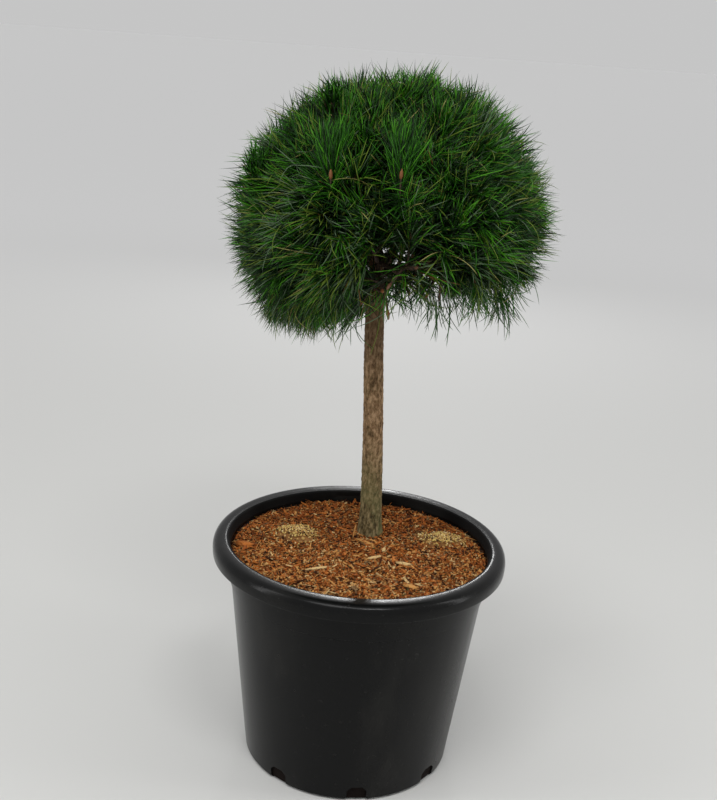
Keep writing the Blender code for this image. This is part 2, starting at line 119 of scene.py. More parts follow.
# %% Sockets as numbers
class Signal:
    """An output socket. Python's operators on it add Math nodes and give the result's socket."""

    def __init__(self, finish, socket):
        self.finish = finish
        self.socket = socket

    def math(self, operation, first, second):
        """Add one Math node."""
        return self.finish.node("ShaderNodeMath", {"operation": operation}, {0: first, 1: second})

    def __add__(self, other):
        return self.math("ADD", self, other)

    def __sub__(self, other):
        return self.math("SUBTRACT", self, other)

    def __rsub__(self, other):
        return self.math("SUBTRACT", other, self)

    def __mul__(self, other):
        return self.math("MULTIPLY", self, other)


class Finish:
    """One material: a Principled shader, and a method that adds any other node to it."""

    def __init__(self, name, colour, roughness, **constants):
        self.material = bpy.data.materials.new(name)
        self.material.use_nodes = True
        self.shader = self.material.node_tree.nodes["Principled BSDF"]
        self.feed(self.shader.inputs["Base Color"], colour)
        self.feed(self.shader.inputs["Roughness"], roughness)
        for socket, value in constants.items():
            self.feed(self.shader.inputs[socket.replace("_", " ")], value)

    def feed(self, socket, value):
        """Give a socket a link or a constant."""
        if isinstance(value, Signal):
            self.material.node_tree.links.new(value.socket, socket)
        elif isinstance(value, tuple) and len(value) == 3 and socket.type == "RGBA":
            socket.default_value = (*value, 1.0)
        else:
            socket.default_value = value

    def node(self, kind, settings=None, inputs=None, output=0):
        """Add a node: its settings first, then the values or links of its sockets."""
        made = self.material.node_tree.nodes.new(kind)
        for setting, value in (settings or {}).items():
            setattr(made, setting, value)
        for socket, value in (inputs or {}).items():
            self.feed(made.inputs[socket], value)
        return Signal(self, made.outputs[output])

    def place(self, stretch=(1.0, 1.0, 1.0)):
        """Object coordinates, stretched along the axes."""
        here = self.node("ShaderNodeTexCoord", output="Object")
        return self.node("ShaderNodeMapping", None, {"Vector": here, "Scale": stretch})

    def height(self):
        """Height above the floor."""
        return self.node("ShaderNodeSeparateXYZ", None, {0: self.place()}, output="Z")

    def distance(self, place):
        """How far a place is from the origin."""
        return self.node("ShaderNodeVectorMath", {"operation": "LENGTH"}, {0: place}, output="Value")

    def speckle(self, scale, detail=3.0, stretch=(1.0, 1.0, 1.0), rough=0.55):
        """Cloudy noise between 0 and 1."""
        inputs = {"Vector": self.place(stretch), "Scale": scale, "Detail": detail, "Roughness": rough}
        return self.node("ShaderNodeTexNoise", None, inputs)

    def between(self, value, low, high):
        """Map a range smoothly onto 0 to 1."""
        inputs = {"Value": value, "From Min": low, "From Max": high}
        return self.node("ShaderNodeMapRange", {"interpolation_type": "SMOOTHSTEP"}, inputs)

    def mix(self, share, first, second):
        """Blend two colours."""
        return self.node("ShaderNodeMix", {"data_type": "RGBA"}, {0: share, 6: first, 7: second}, output=2)

    def ramp(self, value, stops):
        """Colours at their stops along a value."""
        made = self.node("ShaderNodeValToRGB", None, {0: value})
        elements = made.socket.node.color_ramp.elements
        for stop in stops[2:]:
            elements.new(stop[0])
        for element, (position, colour) in zip(elements, stops):
            element.position = position
            element.color = (*colour, 1.0)
        return made

    def colour(self, value):
        self.feed(self.shader.inputs["Base Color"], value)

    def roughness(self, value):
        self.feed(self.shader.inputs["Roughness"], value)

    def relief(self, height, depth):
        """Bump of a depth in metres."""
        bump = self.node("ShaderNodeBump", None, {"Height": height, "Distance": depth, "Strength": 1.0})
        self.feed(self.shader.inputs["Normal"], bump)


def palette(colours, roughness, **constants):
    """One finish for each named colour."""
    return [Finish(name, colour, roughness, **constants) for name, colour in colours.items()]


print("shader maths ready")

# %% [markdown]
# ## From mesh to piece
# Each finished piece sits at the origin with its place in its mesh, and rides on the only body. A piece
# is made from a bmesh, or, where it is thousands of copies of something small, from arrays: one small
# form is shaped once, and NumPy places all its copies at once, which is hundreds of times faster than
# adding objects.

# %% Making pieces
BODY = "root"
GAP = 0.0003
SEED = 29
GOLDEN_ANGLE = math.pi * (3 - math.sqrt(5))


def keep(name, mesh, slot, nodes):
    """Link a finished mesh as a piece of the plant."""
    thing = bpy.data.objects.new(name, mesh)
    bpy.context.scene.collection.objects.link(thing)
    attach(thing, BODY)
    if nodes:
        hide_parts(*nodes)
    return thing


def mesh_of(name, bm):
    """A mesh from a bmesh, with its faces turned outwards."""
    bmesh.ops.recalc_face_normals(bm, faces=bm.faces)
    mesh = bpy.data.meshes.new(name)
    bm.to_mesh(mesh)
    bm.free()
    return mesh


def piece(name, bm, finish, slot, nodes=(), sharp_deg=40):
    """Turn a bmesh into a smooth-shaded piece with its sharper edges kept."""
    mesh = mesh_of(name, bm)
    mesh.materials.append(finish.material)
    mesh.shade_smooth()
    mesh.set_sharp_from_angle(angle=math.radians(sharp_deg))
    return keep(name, mesh, slot, nodes)


def joined(name, points, corners, finish_of, finishes, slot, nodes=(), smooth=False):
    """Turn arrays of points and triangles, with a finish number for each triangle, into a piece."""
    mesh = bpy.data.meshes.new(name)
    for finish in finishes:
        mesh.materials.append(finish.material)
    mesh.vertices.add(len(points))
    mesh.vertices.foreach_set("co", points.astype(np.float32).ravel())
    mesh.loops.add(corners.size)
    mesh.loops.foreach_set("vertex_index", corners.astype(np.int32).ravel())
    mesh.polygons.add(len(corners))
    mesh.polygons.foreach_set("loop_start", np.arange(0, corners.size, 3, dtype=np.int32))
    mesh.polygons.foreach_set("material_index", finish_of.astype(np.int32))
    mesh.update(calc_edges=True)
    if smooth:
        mesh.shade_smooth()
    return keep(name, mesh, slot, nodes)


def form_of(bm):
    """A bmesh as arrays of its points and triangles."""
    bmesh.ops.recalc_face_normals(bm, faces=bm.faces)
    bmesh.ops.triangulate(bm, faces=bm.faces)
    bm.verts.index_update()
    points = np.array([vert.co[:] for vert in bm.verts])
    corners = np.array([[vert.index for vert in face.verts] for face in bm.faces])
    bm.free()
    return points, corners


def copies(form, matrices):
    """Points and triangles of a form placed once by each matrix."""
    points, corners = form
    placed = np.einsum("nij,vj->nvi", matrices[:, :3, :3], points) + matrices[:, None, :3, 3]
    steps = np.arange(len(matrices))[:, None, None] * len(points)
    return placed.reshape(-1, 3), (corners[None] + steps).reshape(-1, 3)


def heaped(name, batches, finishes, slot, nodes=(), smooth=False):
    """Join batches of copies, each a form, its matrices and a finish number for each copy."""
    points, corners, finish_of, start = [], [], [], 0
    for form, matrices, chosen in batches:
        placed, linked = copies(form, matrices)
        points.append(placed)
        corners.append(linked + start)
        finish_of.append(np.repeat(chosen, len(form[1])))
        start += len(placed)
    arrays = [np.concatenate(parts) for parts in (points, corners, finish_of)]
    thing = joined(name, *arrays, finishes, slot, nodes, smooth)
    print(name, len(arrays[1]), "triangles")
    return thing


def turned(bm, outline, sides):
    """Spin an outline of radius and height pairs about the Z axis."""
    verts = [bm.verts.new((radius, 0.0, height)) for radius, height in outline]
    edges = [bm.edges.new(pair) for pair in zip(verts, verts[1:])]
    bmesh.ops.spin(bm, geom=verts + edges, cent=(0, 0, 0), axis=(0, 0, 1), angle=2 * math.pi,
                   steps=sides, use_merge=True)
    bmesh.ops.remove_doubles(bm, verts=bm.verts, dist=1e-6)


def arc(middle, half_axes, start_deg, end_deg, steps):
    """Points along part of an ellipse, as radius and height pairs."""
    angles = [math.radians(start_deg + (end_deg - start_deg) * step / steps) for step in range(steps + 1)]
    return [(middle[0] + half_axes[0] * math.cos(angle), middle[1] + half_axes[1] * math.sin(angle))
            for angle in angles]


print("piece makers ready")

# %% [markdown]
# ## The pot
# A nursery pot is one thin injection-moulded shell: a tapered wall, a slightly wider collar, and a rim
# that rolls over and hangs down as a skirt. A turned section gives all of it in one spin. The drainage
# notches cut across the turning, so a Boolean with eight small wedges takes them out afterwards.

# %% Sizes of the pot
POT_HEIGHT = 0.3117
POT_BASE_RADIUS = 0.1415
POT_TAPER = 0.116
POT_WALL = 0.0025
POT_FLOOR = 0.003
POT_SIDES = 176
FOOT_CHAMFER = 0.004
RIM_RADIUS = 0.197
RIM_ROLL = 0.0104
RIM_SKIRT_BOTTOM = 0.2905
RIM_SHOULDER_DROP = 0.014
SKIRT_LIP = 0.0011
SKIRT_SETBACK = 0.0004
COLLAR_BOTTOM = 0.251
COLLAR_STEP = 0.0018
COLLAR_RADIUS = 0.1778
COLLAR_FLARE = 0.001
GROOVE_FILLET = (0.003, 0.005)
INNER_BEAD_DROP = 0.0095
INNER_BEAD = 0.0009
BEAD_FADE = 0.0002
RIM_BORE = 0.1758
RIM_CORNER = 0.0024
RIM_OVAL = 0.0055
RIM_SQUARENESS = 0.80
RIM_CREST = 0.1845
LEDGE_DIP = 0.0006
CORNER_BAND = (0.8, 1.5)
CORNER_DEPTH = (0.016, 0.010)
NOTCH_COUNT = 8
NOTCH_FIRST_DEG = 6.0
NOTCH_WIDTH = 0.026
NOTCH_HEIGHT = 0.022
NOTCH_CORNER = 0.006
NOTCH_DEPTH = 0.013
WEDGE_LENGTH = 0.04


def wall_radius(height):
    """Outer radius of the tapered wall at a height."""
    return POT_BASE_RADIUS + POT_TAPER * height


def inner_radius(height):
    """Inner radius of the pot at a height."""
    return wall_radius(height) - POT_WALL


print("pot:", round(2000 * RIM_RADIUS), "mm over the rim,", round(1000 * POT_HEIGHT), "mm high")

# %% [markdown]
# ### Black polypropylene
# The plastic is satin black. What tells it from a black render is what lies on it: a grey film of dust
# and dried water that gathers near the foot, and the long faint flow marks of the mould.

# %% Finish of the pot
pot_finish = Finish("black_polypropylene", (0.006, 0.006, 0.006), 0.3, Specular_IOR_Level=0.16)
film = pot_finish.speckle(9.0, 5.0, (1.0, 1.0, 0.35))
low_down = 1 - pot_finish.between(pot_finish.height(), 0.0, 0.11)
dust = pot_finish.between(film + low_down * 0.10, 0.50, 0.80)
spots = pot_finish.between(pot_finish.speckle(170.0, 2.0), 0.66, 0.74)
flow = pot_finish.speckle(60.0, 2.0, (1.0, 1.0, 0.04))
grime = dust * 0.55 + spots * 0.30
pot_finish.colour(pot_finish.mix(grime, (0.0042, 0.0043, 0.0043), (0.026, 0.025, 0.022)))
oval_place = pot_finish.place((1.0, 1.0 + RIM_OVAL / RIM_BORE, 0.0))
corner_edges = [RIM_BORE + share * RIM_CORNER for share in CORNER_BAND]
corner_rise = [POT_HEIGHT - depth for depth in CORNER_DEPTH]
inner_corner = 1 - pot_finish.between(pot_finish.distance(oval_place), *corner_edges)
inner_corner = inner_corner * pot_finish.between(pot_finish.height(), *corner_rise)
pot_finish.roughness(flow * 0.08 + grime * 0.24 + inner_corner * 0.60 + 0.17)
pot_finish.relief(flow * 0.6 + pot_finish.speckle(520.0, 2.0) * 0.4, 0.00018)
print("pot finish ready")

# %% The turned shell and its notches
def pot_outline():
    """Section of the pot from the middle of its underside round to the middle of its floor."""
    shoulder = POT_HEIGHT - RIM_SHOULDER_DROP
    lip = POT_HEIGHT - RIM_ROLL
    skirt_inside = RIM_RADIUS - POT_WALL
    groove_top = POT_HEIGHT - 2 * POT_WALL
    bead = POT_HEIGHT - RIM_ROLL - INNER_BEAD_DROP
    outline = [(0.0, 0.0), (POT_BASE_RADIUS - FOOT_CHAMFER, 0.0)]
    outline += [(wall_radius(FOOT_CHAMFER), FOOT_CHAMFER)]
    outline += [(wall_radius(COLLAR_BOTTOM * share), COLLAR_BOTTOM * share) for share in (0.3, 0.6, 1.0)]
    outline += [(wall_radius(COLLAR_BOTTOM) + COLLAR_STEP, COLLAR_BOTTOM + COLLAR_STEP)]
    outline += [(COLLAR_RADIUS, RIM_SKIRT_BOTTOM), (COLLAR_RADIUS + COLLAR_FLARE, groove_top)]
    fillet_in, fillet_down = GROOVE_FILLET
    outline += [(skirt_inside - fillet_in, groove_top), (skirt_inside, groove_top - fillet_down)]
    outline += arc((RIM_RADIUS - SKIRT_LIP - SKIRT_SETBACK, RIM_SKIRT_BOTTOM + SKIRT_LIP),
                   (SKIRT_LIP, SKIRT_LIP), 180, 360, 6)
    for across, up in arc((0, 0), (1, 1), 0, 90, 14):
        radius = RIM_CREST + (RIM_RADIUS - RIM_CREST) * across ** RIM_SQUARENESS
        outline.append((radius, shoulder + RIM_SHOULDER_DROP * up ** RIM_SQUARENESS))
    ledge = RIM_CREST - RIM_BORE - RIM_CORNER
    for share in (0.25, 0.5, 0.75):
        outline.append((RIM_CREST - ledge * share, POT_HEIGHT - LEDGE_DIP * share ** 2))
    outline += arc((RIM_BORE + RIM_CORNER, POT_HEIGHT - RIM_CORNER - LEDGE_DIP),
                   (RIM_CORNER, RIM_CORNER), 78, 180, 7)
    outline += [(inner_radius(lip), lip)]
    outline += [(inner_radius(bead), bead + INNER_BEAD), (inner_radius(bead) - INNER_BEAD, bead)]
    outline += [(inner_radius(bead) - INNER_BEAD, bead - 2 * INNER_BEAD)]
    outline += [(inner_radius(bead) - BEAD_FADE, bead - 3 * INNER_BEAD)]
    outline += [(inner_radius(POT_FLOOR), POT_FLOOR), (0.0, POT_FLOOR)]
    return outline


def notch_cutter():
    """Wedges with clipped upper corners that open the foot of the wall."""
    bm = bmesh.new()
    half = NOTCH_WIDTH / 2
    shoulder = NOTCH_HEIGHT - NOTCH_CORNER
    section = [(-half, -0.01), (half, -0.01), (half, shoulder), (half - NOTCH_CORNER, NOTCH_HEIGHT)]
    section += [(NOTCH_CORNER - half, NOTCH_HEIGHT), (-half, shoulder)]
    start = POT_BASE_RADIUS - NOTCH_DEPTH
    for number in range(NOTCH_COUNT):
        face = bm.faces.new([bm.verts.new((start, across, up)) for across, up in section])
        pushed = bmesh.ops.extrude_face_region(bm, geom=[face])["geom"]
        moved = [item for item in pushed if isinstance(item, bmesh.types.BMVert)]
        bmesh.ops.translate(bm, verts=moved, vec=(WEDGE_LENGTH, 0, 0))
        turn = Matrix.Rotation(math.radians(NOTCH_FIRST_DEG + 360 * number / NOTCH_COUNT), 3, "Z")
        bmesh.ops.rotate(bm, verts=list(face.verts) + moved, cent=(0, 0, 0), matrix=turn)
    return bpy.data.objects.new("notch_cutter", mesh_of("notch_cutter", bm))


def cut_pot():
    """The turned shell with its notches taken out, as a bmesh."""
    bm = bmesh.new()
    turned(bm, pot_outline(), POT_SIDES)
    for vert in bm.verts:
        out = math.hypot(vert.co.x, vert.co.y)
        if vert.co.z > POT_HEIGHT - RIM_CORNER - LEDGE_DIP - 1e-5 and out < RIM_CREST:
            inward = min(1.0, (RIM_CREST - out) / (RIM_CREST - RIM_BORE - RIM_CORNER))
            narrower = inward * RIM_OVAL * (vert.co.y / out) ** 2 / out
            vert.co.x *= 1 - narrower
            vert.co.y *= 1 - narrower
    blank = bpy.data.objects.new("pot_blank", mesh_of("pot_blank", bm))
    cutter = notch_cutter()
    for thing in (blank, cutter):
        bpy.context.scene.collection.objects.link(thing)
    cut = blank.modifiers.new("notches", "BOOLEAN")
    cut.operation = "DIFFERENCE"
    cut.solver = "EXACT"
    cut.object = cutter
    bm = bmesh.new()
    bm.from_object(blank, bpy.context.evaluated_depsgraph_get())
    for thing in (blank, cutter):
        bpy.data.objects.remove(thing, do_unlink=True)
    return bm


pot = piece("nursery_pot", cut_pot(), pot_finish, "pot_plastic", ["pot"], sharp_deg=32)
print("pot:", len(pot.data.polygons), "faces")

# %% [markdown]
# ## The growing medium
# The pot is filled with milled pine bark and coir. Up close it is a crust of small chips, crumbs and
# fibres over a darker, lumpy bed. A displaced surface alone would look like clay, so the bed only gives
# the lie of the surface, and thousands of real little pieces lie on it.

# %% The lie of the surface
MEDIUM_TOP = 0.293
MEDIUM_FLAT_RADIUS = 0.166
MEDIUM_EDGE_DROP = 0.003
MEDIUM_SIDES = 150
MEDIUM_RING = 0.0042
LUMP = 0.0022
LUMPS_PER_METRE = 34
CRUMBLE = 0.0011
CRUMBLES_PER_METRE = 210
TRUNK_FOOT = Vector((0.0152, 0.0600))
COLLAR_OF_SOIL = 0.0008
COLLAR_REACH = 0.03
HEAPS = {
    "fertiliser_heap_left": {"middle": (-0.086, 0.038), "half_size": (0.030, 0.027), "height": 0.011},
    "fertiliser_heap_right": {"middle": (0.115, 0.049), "half_size": (0.036, 0.024), "height": 0.007},
}
HEAP_HIDES = 0.8


def ground(x, y):
    """Height of the bed of the medium."""
    out = math.hypot(x, y)
    edge_band = inner_radius(MEDIUM_TOP) - MEDIUM_FLAT_RADIUS
    drop = MEDIUM_EDGE_DROP * max(0.0, (out - MEDIUM_FLAT_RADIUS) / edge_band)
    near = math.exp(-((x - TRUNK_FOOT.x) ** 2 + (y - TRUNK_FOOT.y) ** 2) / COLLAR_REACH ** 2)
    lumps = noise.noise(Vector((x * LUMPS_PER_METRE, y * LUMPS_PER_METRE, 3.1))) * LUMP
    crumbs = noise.noise(Vector((x * CRUMBLES_PER_METRE, y * CRUMBLES_PER_METRE, 7.7))) * CRUMBLE
    return MEDIUM_TOP - drop + near * COLLAR_OF_SOIL + lumps + crumbs


medium_finish = Finish("bark_and_coir", (0.12, 0.045, 0.016), 0.92, Specular_IOR_Level=0.15)
grain = medium_finish.speckle(330.0, 6.0, rough=0.7)
patch = medium_finish.speckle(24.0, 3.0)
shade = medium_finish.ramp(grain * 0.8 + patch * 0.2, [
    (0.30, (0.040, 0.012, 0.003)), (0.48, (0.180, 0.055, 0.012)),
    (0.60, (0.320, 0.115, 0.026)), (0.74, (0.540, 0.280, 0.090))])
# Painted shade: from 0.28 m down to 0.10 m the sides of the medium fade to nearly black, as the inside of
# the pot looks through the notches.
above_painted_shade = medium_finish.between(medium_finish.height(), 0.10, 0.28)
medium_finish.colour(medium_finish.mix(above_painted_shade, (0.006, 0.003, 0.002), shade))
medium_finish.relief(grain, 0.0012)

bm = bmesh.new()
rings = int(inner_radius(MEDIUM_TOP) / MEDIUM_RING)
edge_of_bed = inner_radius(MEDIUM_TOP - MEDIUM_EDGE_DROP) - GAP
section = [(0.0, POT_FLOOR + GAP), (inner_radius(POT_FLOOR + GAP) - GAP, POT_FLOOR + GAP)]
section += [(edge_of_bed * ring / rings, MEDIUM_TOP) for ring in range(rings, -1, -1)]
turned(bm, section, MEDIUM_SIDES)
for vert in bm.verts:
    if vert.co.z > MEDIUM_TOP - 0.01:
        vert.co.z = ground(vert.co.x, vert.co.y)
medium = piece("growing_medium_bed", bm, medium_finish, "bark_and_coir", ["growing_medium"], sharp_deg=80)
print("medium:", len(medium.data.polygons), "faces")

# %% [markdown]
# ### Chips, crumbs and fibres
# A bark chip is a flat shard with ragged edges. We cut a handful of shards from cubes by moving their
# corners at random, and lay copies of them flat with a little tilt. The colour of each is drawn from a
# palette: redder shards at the back, more tan and straw at the front. Nothing is laid where the heaps of
# fertiliser would hide it.

# %% Forms and palettes of the litter
chance = np.random.default_rng(SEED)
LITTER_COLOURS = {
    "litter_red_brown": (0.325, 0.090, 0.019), "litter_rust": (0.460, 0.145, 0.028),
    "litter_dark": (0.050, 0.016, 0.005), "litter_tan": (0.580, 0.285, 0.084),
    "litter_straw": (0.660, 0.450, 0.200), "litter_grey_brown": (0.200, 0.110, 0.048),
    "litter_moss": (0.085, 0.078, 0.020),
}
litter_finishes = palette(LITTER_COLOURS, 0.85, Specular_IOR_Level=0.15)
BACK_SHARES = np.array([0.29, 0.21, 0.25, 0.12, 0.040, 0.08, 0.010])
FRONT_SHARES = np.array([0.18, 0.21, 0.19, 0.25, 0.110, 0.05, 0.010])
RAGGEDNESS = 0.2
FIBRE_SWAY = (0.10, 0.28)
SMALL_BIAS = 1.6
LIFT_RANGE = (0.2, 1.0)
FRONT_OF_MEDIUM = -0.14
BLEND_DEPTH = 0.22
STREWN_REACH = 0.173
EDGE_CLEARANCE = 0.002
FOOT_CLEARANCE = 0.0175


def shard(cuts):
    """A cube with its points moved at random, one unit across."""
    bm = bmesh.new()
    bmesh.ops.create_cube(bm, size=1.0)
    if cuts:
        bmesh.ops.subdivide_edges(bm, edges=bm.edges, cuts=cuts, use_grid_fill=True)
    for vert in bm.verts:
        vert.co += Vector(chance.uniform(-RAGGEDNESS, RAGGEDNESS, 3))
    return form_of(bm)


def fibre():
    """A thin bent strand of coir, one unit long."""
    bm = bmesh.new()
    bmesh.ops.create_cone(bm, cap_ends=True, segments=3, radius1=0.5, radius2=0.25, depth=1.0)
    long_edges = [edge for edge in bm.edges if abs(edge.verts[0].co.z - edge.verts[1].co.z) > 0.5]
    bmesh.ops.subdivide_edges(bm, edges=long_edges, cuts=3)
    turn = Matrix.Rotation(math.radians(90), 3, "Y")
    bmesh.ops.rotate(bm, verts=bm.verts, cent=(0, 0, 0), matrix=turn)
    sway = chance.uniform(*FIBRE_SWAY)
    for vert in bm.verts:
        vert.co.z += 6.0 * sway * (0.25 - vert.co.x ** 2)
    return form_of(bm)


def turns(axis, angles):
    """Rotation matrices about one axis, from an array of angles."""
    first, second = [(1, 2), (2, 0), (0, 1)]["XYZ".index(axis)]
    matrices = np.tile(np.eye(3), (len(angles), 1, 1))
    matrices[:, first, first] = np.cos(angles)
    matrices[:, second, second] = np.cos(angles)
    matrices[:, first, second] = -np.sin(angles)
    matrices[:, second, first] = np.sin(angles)
    return matrices


def placings(where, size, tilt_deg):
    """Matrices that scale copies, turn them at random and put them where they lie."""
    count = len(where)
    spin = chance.uniform(0, 2 * np.pi, count)
    tilt = np.radians(chance.normal(0, tilt_deg, count))
    roll = np.radians(chance.normal(0, tilt_deg, count))
    matrices = np.tile(np.eye(4), (count, 1, 1))
    matrices[:, :3, :3] = turns("Z", spin) @ turns("Y", tilt) @ turns("X", roll) * size[:, None, :]
    matrices[:, :3, 3] = where
    return matrices


def strewn(count, lift):
    """Places spread evenly over the medium, clear of the trunk."""
    spots = []
    while len(spots) < count:
        x, y = chance.uniform(-STREWN_REACH, STREWN_REACH, 2)
        at_trunk = math.hypot(x - TRUNK_FOOT.x, y - TRUNK_FOOT.y) < FOOT_CLEARANCE
        if math.hypot(x, y) < edge_of_bed - EDGE_CLEARANCE and not at_trunk:
            spots.append((x, y, ground(x, y) + lift * chance.uniform(*LIFT_RANGE)))
    return np.array(spots)


def litter_choice(where):
    """A finish number for each place, redder towards the back."""
    share = np.clip((where[:, 1] - FRONT_OF_MEDIUM) / BLEND_DEPTH, 0, 1)[:, None]
    odds = FRONT_SHARES * (1 - share) + BACK_SHARES * share
    draw = chance.uniform(0, 1, len(where))[:, None]
    limits = np.cumsum(odds / odds.sum(1, keepdims=True), axis=1)
    return (draw > limits).sum(1).clip(0, len(BACK_SHARES) - 1)


def in_sight(where):
    """Whether places are clear of the heaps of fertiliser, which would hide what lies there."""
    clear = np.ones(len(where), bool)
    for heap in HEAPS.values():
        offset = (where[:, :2] - heap["middle"]) / heap["half_size"]
        clear &= np.hypot(offset[:, 0], offset[:, 1]) > HEAP_HIDES
    return clear


# %% Strew the litter
def litter(name, forms, count, length, breadth, thickness, lift, tilt_deg):
    """Strew copies of some forms, with their sizes drawn between limits, as one piece."""
    batches = []
    for form in forms:
        where = strewn(count // len(forms), lift)
        along = length[0] * (length[1] / length[0]) ** (chance.uniform(0, 1, len(where)) ** SMALL_BIAS)
        across = along * chance.uniform(*breadth, len(where))
        thick = chance.uniform(*thickness, len(where))
        size = np.stack([along, across, thick], 1)
        shown = in_sight(where)
        batches.append((form, placings(where, size, tilt_deg)[shown], litter_choice(where)[shown]))
    return heaped(name, batches, litter_finishes, "bark_and_coir")


litter("bark_crumbs", [shard(0) for _ in range(6)], 17000, length=(0.0012, 0.0042), breadth=(0.35, 0.8),
       thickness=(0.0008, 0.0018), lift=0.0024, tilt_deg=26)
litter("bark_chips", [shard(1) for _ in range(8)], 1300, length=(0.0045, 0.0130), breadth=(0.14, 0.34),
       thickness=(0.0008, 0.0018), lift=0.0034, tilt_deg=18)
litter("coir_fibres", [fibre() for _ in range(5)], 2400, length=(0.0070, 0.0210), breadth=(0.03, 0.06),
       thickness=(0.0005, 0.0009), lift=0.0040, tilt_deg=14)

# %% [markdown]
# ### Pieces that the eye picks out
# A few chips are large and pale enough to be landmarks: straw-coloured splinters in front of the stem, an
# orange shard at the left, and a tan flake that stands against the stem's foot. Each is placed by where
# it shows in the photograph, and still lies on the medium.

# %% Landmark chips
STRAW, TAN, RUST = 4, 3, 1
LANDMARKS = [
    {"pixel": (320, 567), "spin_deg": 24, "size": (0.030, 0.0042, 0.0018), "finish": STRAW},
    {"pixel": (375, 556), "spin_deg": 34, "size": (0.021, 0.0040, 0.0018), "finish": STRAW},
    {"pixel": (405, 562), "spin_deg": -12, "size": (0.018, 0.0055, 0.0020), "finish": STRAW},
    {"pixel": (412, 585), "spin_deg": -20, "size": (0.017, 0.0065, 0.0020), "finish": TAN},
    {"pixel": (246, 543), "spin_deg": -10, "size": (0.020, 0.0120, 0.0025), "finish": RUST},
    {"pixel": (366, 541), "spin_deg": -38, "size": (0.024, 0.0050, 0.0015), "finish": TAN},
    {"pixel": (384, 548), "spin_deg": 80, "size": (0.012, 0.0036, 0.0015), "finish": STRAW},
]
LANDMARK_SEEN = 0.005
LANDMARK_LIFT = 0.0032
STANDING_FLAKE = {"pixel": (354, 533), "size": (0.022, 0.0055, 0.0014), "lean_deg": 82}
FLAKE_SEEN = 0.008
FLAKE_LIFT = 0.010
FLAKE_FORWARD = 0.002
landmark_form = shard(1)
matrices = []
for mark in LANDMARKS:
    spot = seen_at_height(mark["pixel"], MEDIUM_TOP + LANDMARK_SEEN)
    lies = Matrix.Translation((spot.x, spot.y, ground(spot.x, spot.y) + LANDMARK_LIFT))
    spun = Matrix.Rotation(math.radians(mark["spin_deg"]), 4, "Z")
    matrices.append(lies @ spun @ Matrix.Diagonal((*mark["size"], 1)))
spot = seen_at_height(STANDING_FLAKE["pixel"], MEDIUM_TOP + FLAKE_SEEN)
stands = Matrix.Translation((spot.x, spot.y - FLAKE_FORWARD, ground(spot.x, spot.y) + FLAKE_LIFT))
stands = stands @ Matrix.Rotation(math.radians(-STANDING_FLAKE["lean_deg"]), 4, "Y")
matrices.append(stands @ Matrix.Diagonal((*STANDING_FLAKE["size"], 1)))
chosen = np.array([mark["finish"] for mark in LANDMARKS] + [TAN])
batches = [(landmark_form, np.array([np.array(matrix) for matrix in matrices]), chosen)]
heaped("landmark_chips", batches, litter_finishes, "bark_and_coir")

# %% [markdown]
# ## The fertiliser
# Two handfuls of coated granules lie on the medium. Each heap is a low mound, so we make the mound and
# cover it with granules in layers, a few of them rolled away from its edge.

# %% Granules
GRANULE_SIZE = (0.0017, 0.0028)
GRANULE_UNEVENNESS = (0.9, 1.08)
GRANULE_COUNT = 1000
GRANULE_COLOURS = {
    "granule_tan": (0.500, 0.300, 0.095), "granule_yellow": (0.600, 0.430, 0.130),
    "granule_pale": (0.720, 0.560, 0.280), "granule_brown": (0.260, 0.120, 0.036),
    "granule_dark": (0.075, 0.040, 0.014),
}
granule_finishes = palette(GRANULE_COLOURS, 0.6, Specular_IOR_Level=0.2)
GRANULE_SHARES = [0.30, 0.27, 0.10, 0.16, 0.17]
GRANULE_SPREAD = 0.62
GRANULE_FARTHEST = 1.5
GRANULE_LIFT = (0.0004, 0.0024)
MOUND_BELOW = 0.002
MOUND_WIDTH = 0.94
MOUND_FINISH = 3


def granule():
    """A slightly uneven ball, one unit across."""
    bm = bmesh.new()
    bmesh.ops.create_icosphere(bm, subdivisions=2, radius=0.5)
    for vert in bm.verts:
        vert.co *= chance.uniform(*GRANULE_UNEVENNESS)
    return form_of(bm)


def mound_height(offset, half_size, height):
    """Height of a heap's surface above the medium, from an offset from its middle."""
    out = math.hypot(offset[0] / half_size[0], offset[1] / half_size[1])
    return height * math.sqrt(max(0.0, 1 - out ** 2))


def make_heap(name, middle, half_size, height):
    """A mound and the granules that cover it."""
    spots = []
    while len(spots) < GRANULE_COUNT:
        out = abs(chance.normal(0, GRANULE_SPREAD))
        bearing = chance.uniform(0, 2 * math.pi)
        offset = (out * half_size[0] * math.cos(bearing), out * half_size[1] * math.sin(bearing))
        if out < GRANULE_FARTHEST:
            x, y = middle[0] + offset[0], middle[1] + offset[1]
            rise = mound_height(offset, half_size, height - MOUND_BELOW) + chance.uniform(*GRANULE_LIFT)
            spots.append((x, y, max(ground(x, y), MEDIUM_TOP) + rise))
    where = np.array(spots)
    size = np.repeat(chance.uniform(*GRANULE_SIZE, len(where))[:, None], 3, axis=1)
    chosen = chance.choice(len(GRANULE_SHARES), len(where), p=GRANULE_SHARES)
    bm = bmesh.new()
    turned(bm, [(0.0, -0.3), (1.0, -0.3)] + arc((0, 0), (1, 1), 0, 90, 8), 40)
    wide, deep = (half * MOUND_WIDTH for half in half_size)
    bmesh.ops.scale(bm, verts=bm.verts, vec=(wide, deep, height - MOUND_BELOW))
    bmesh.ops.translate(bm, verts=bm.verts, vec=(*middle, MEDIUM_TOP + GAP))
    mound = form_of(bm)
    in_place = np.eye(4)[None]
    batches = [(mound, in_place, np.array([MOUND_FINISH])), (granule(), placings(where, size, 90), chosen)]
    heaped(name.replace("heap", "granules"), batches, granule_finishes, "fertiliser_granules", [name],
           smooth=True)


for heap_name, heap in HEAPS.items():
    make_heap(heap_name, **heap)

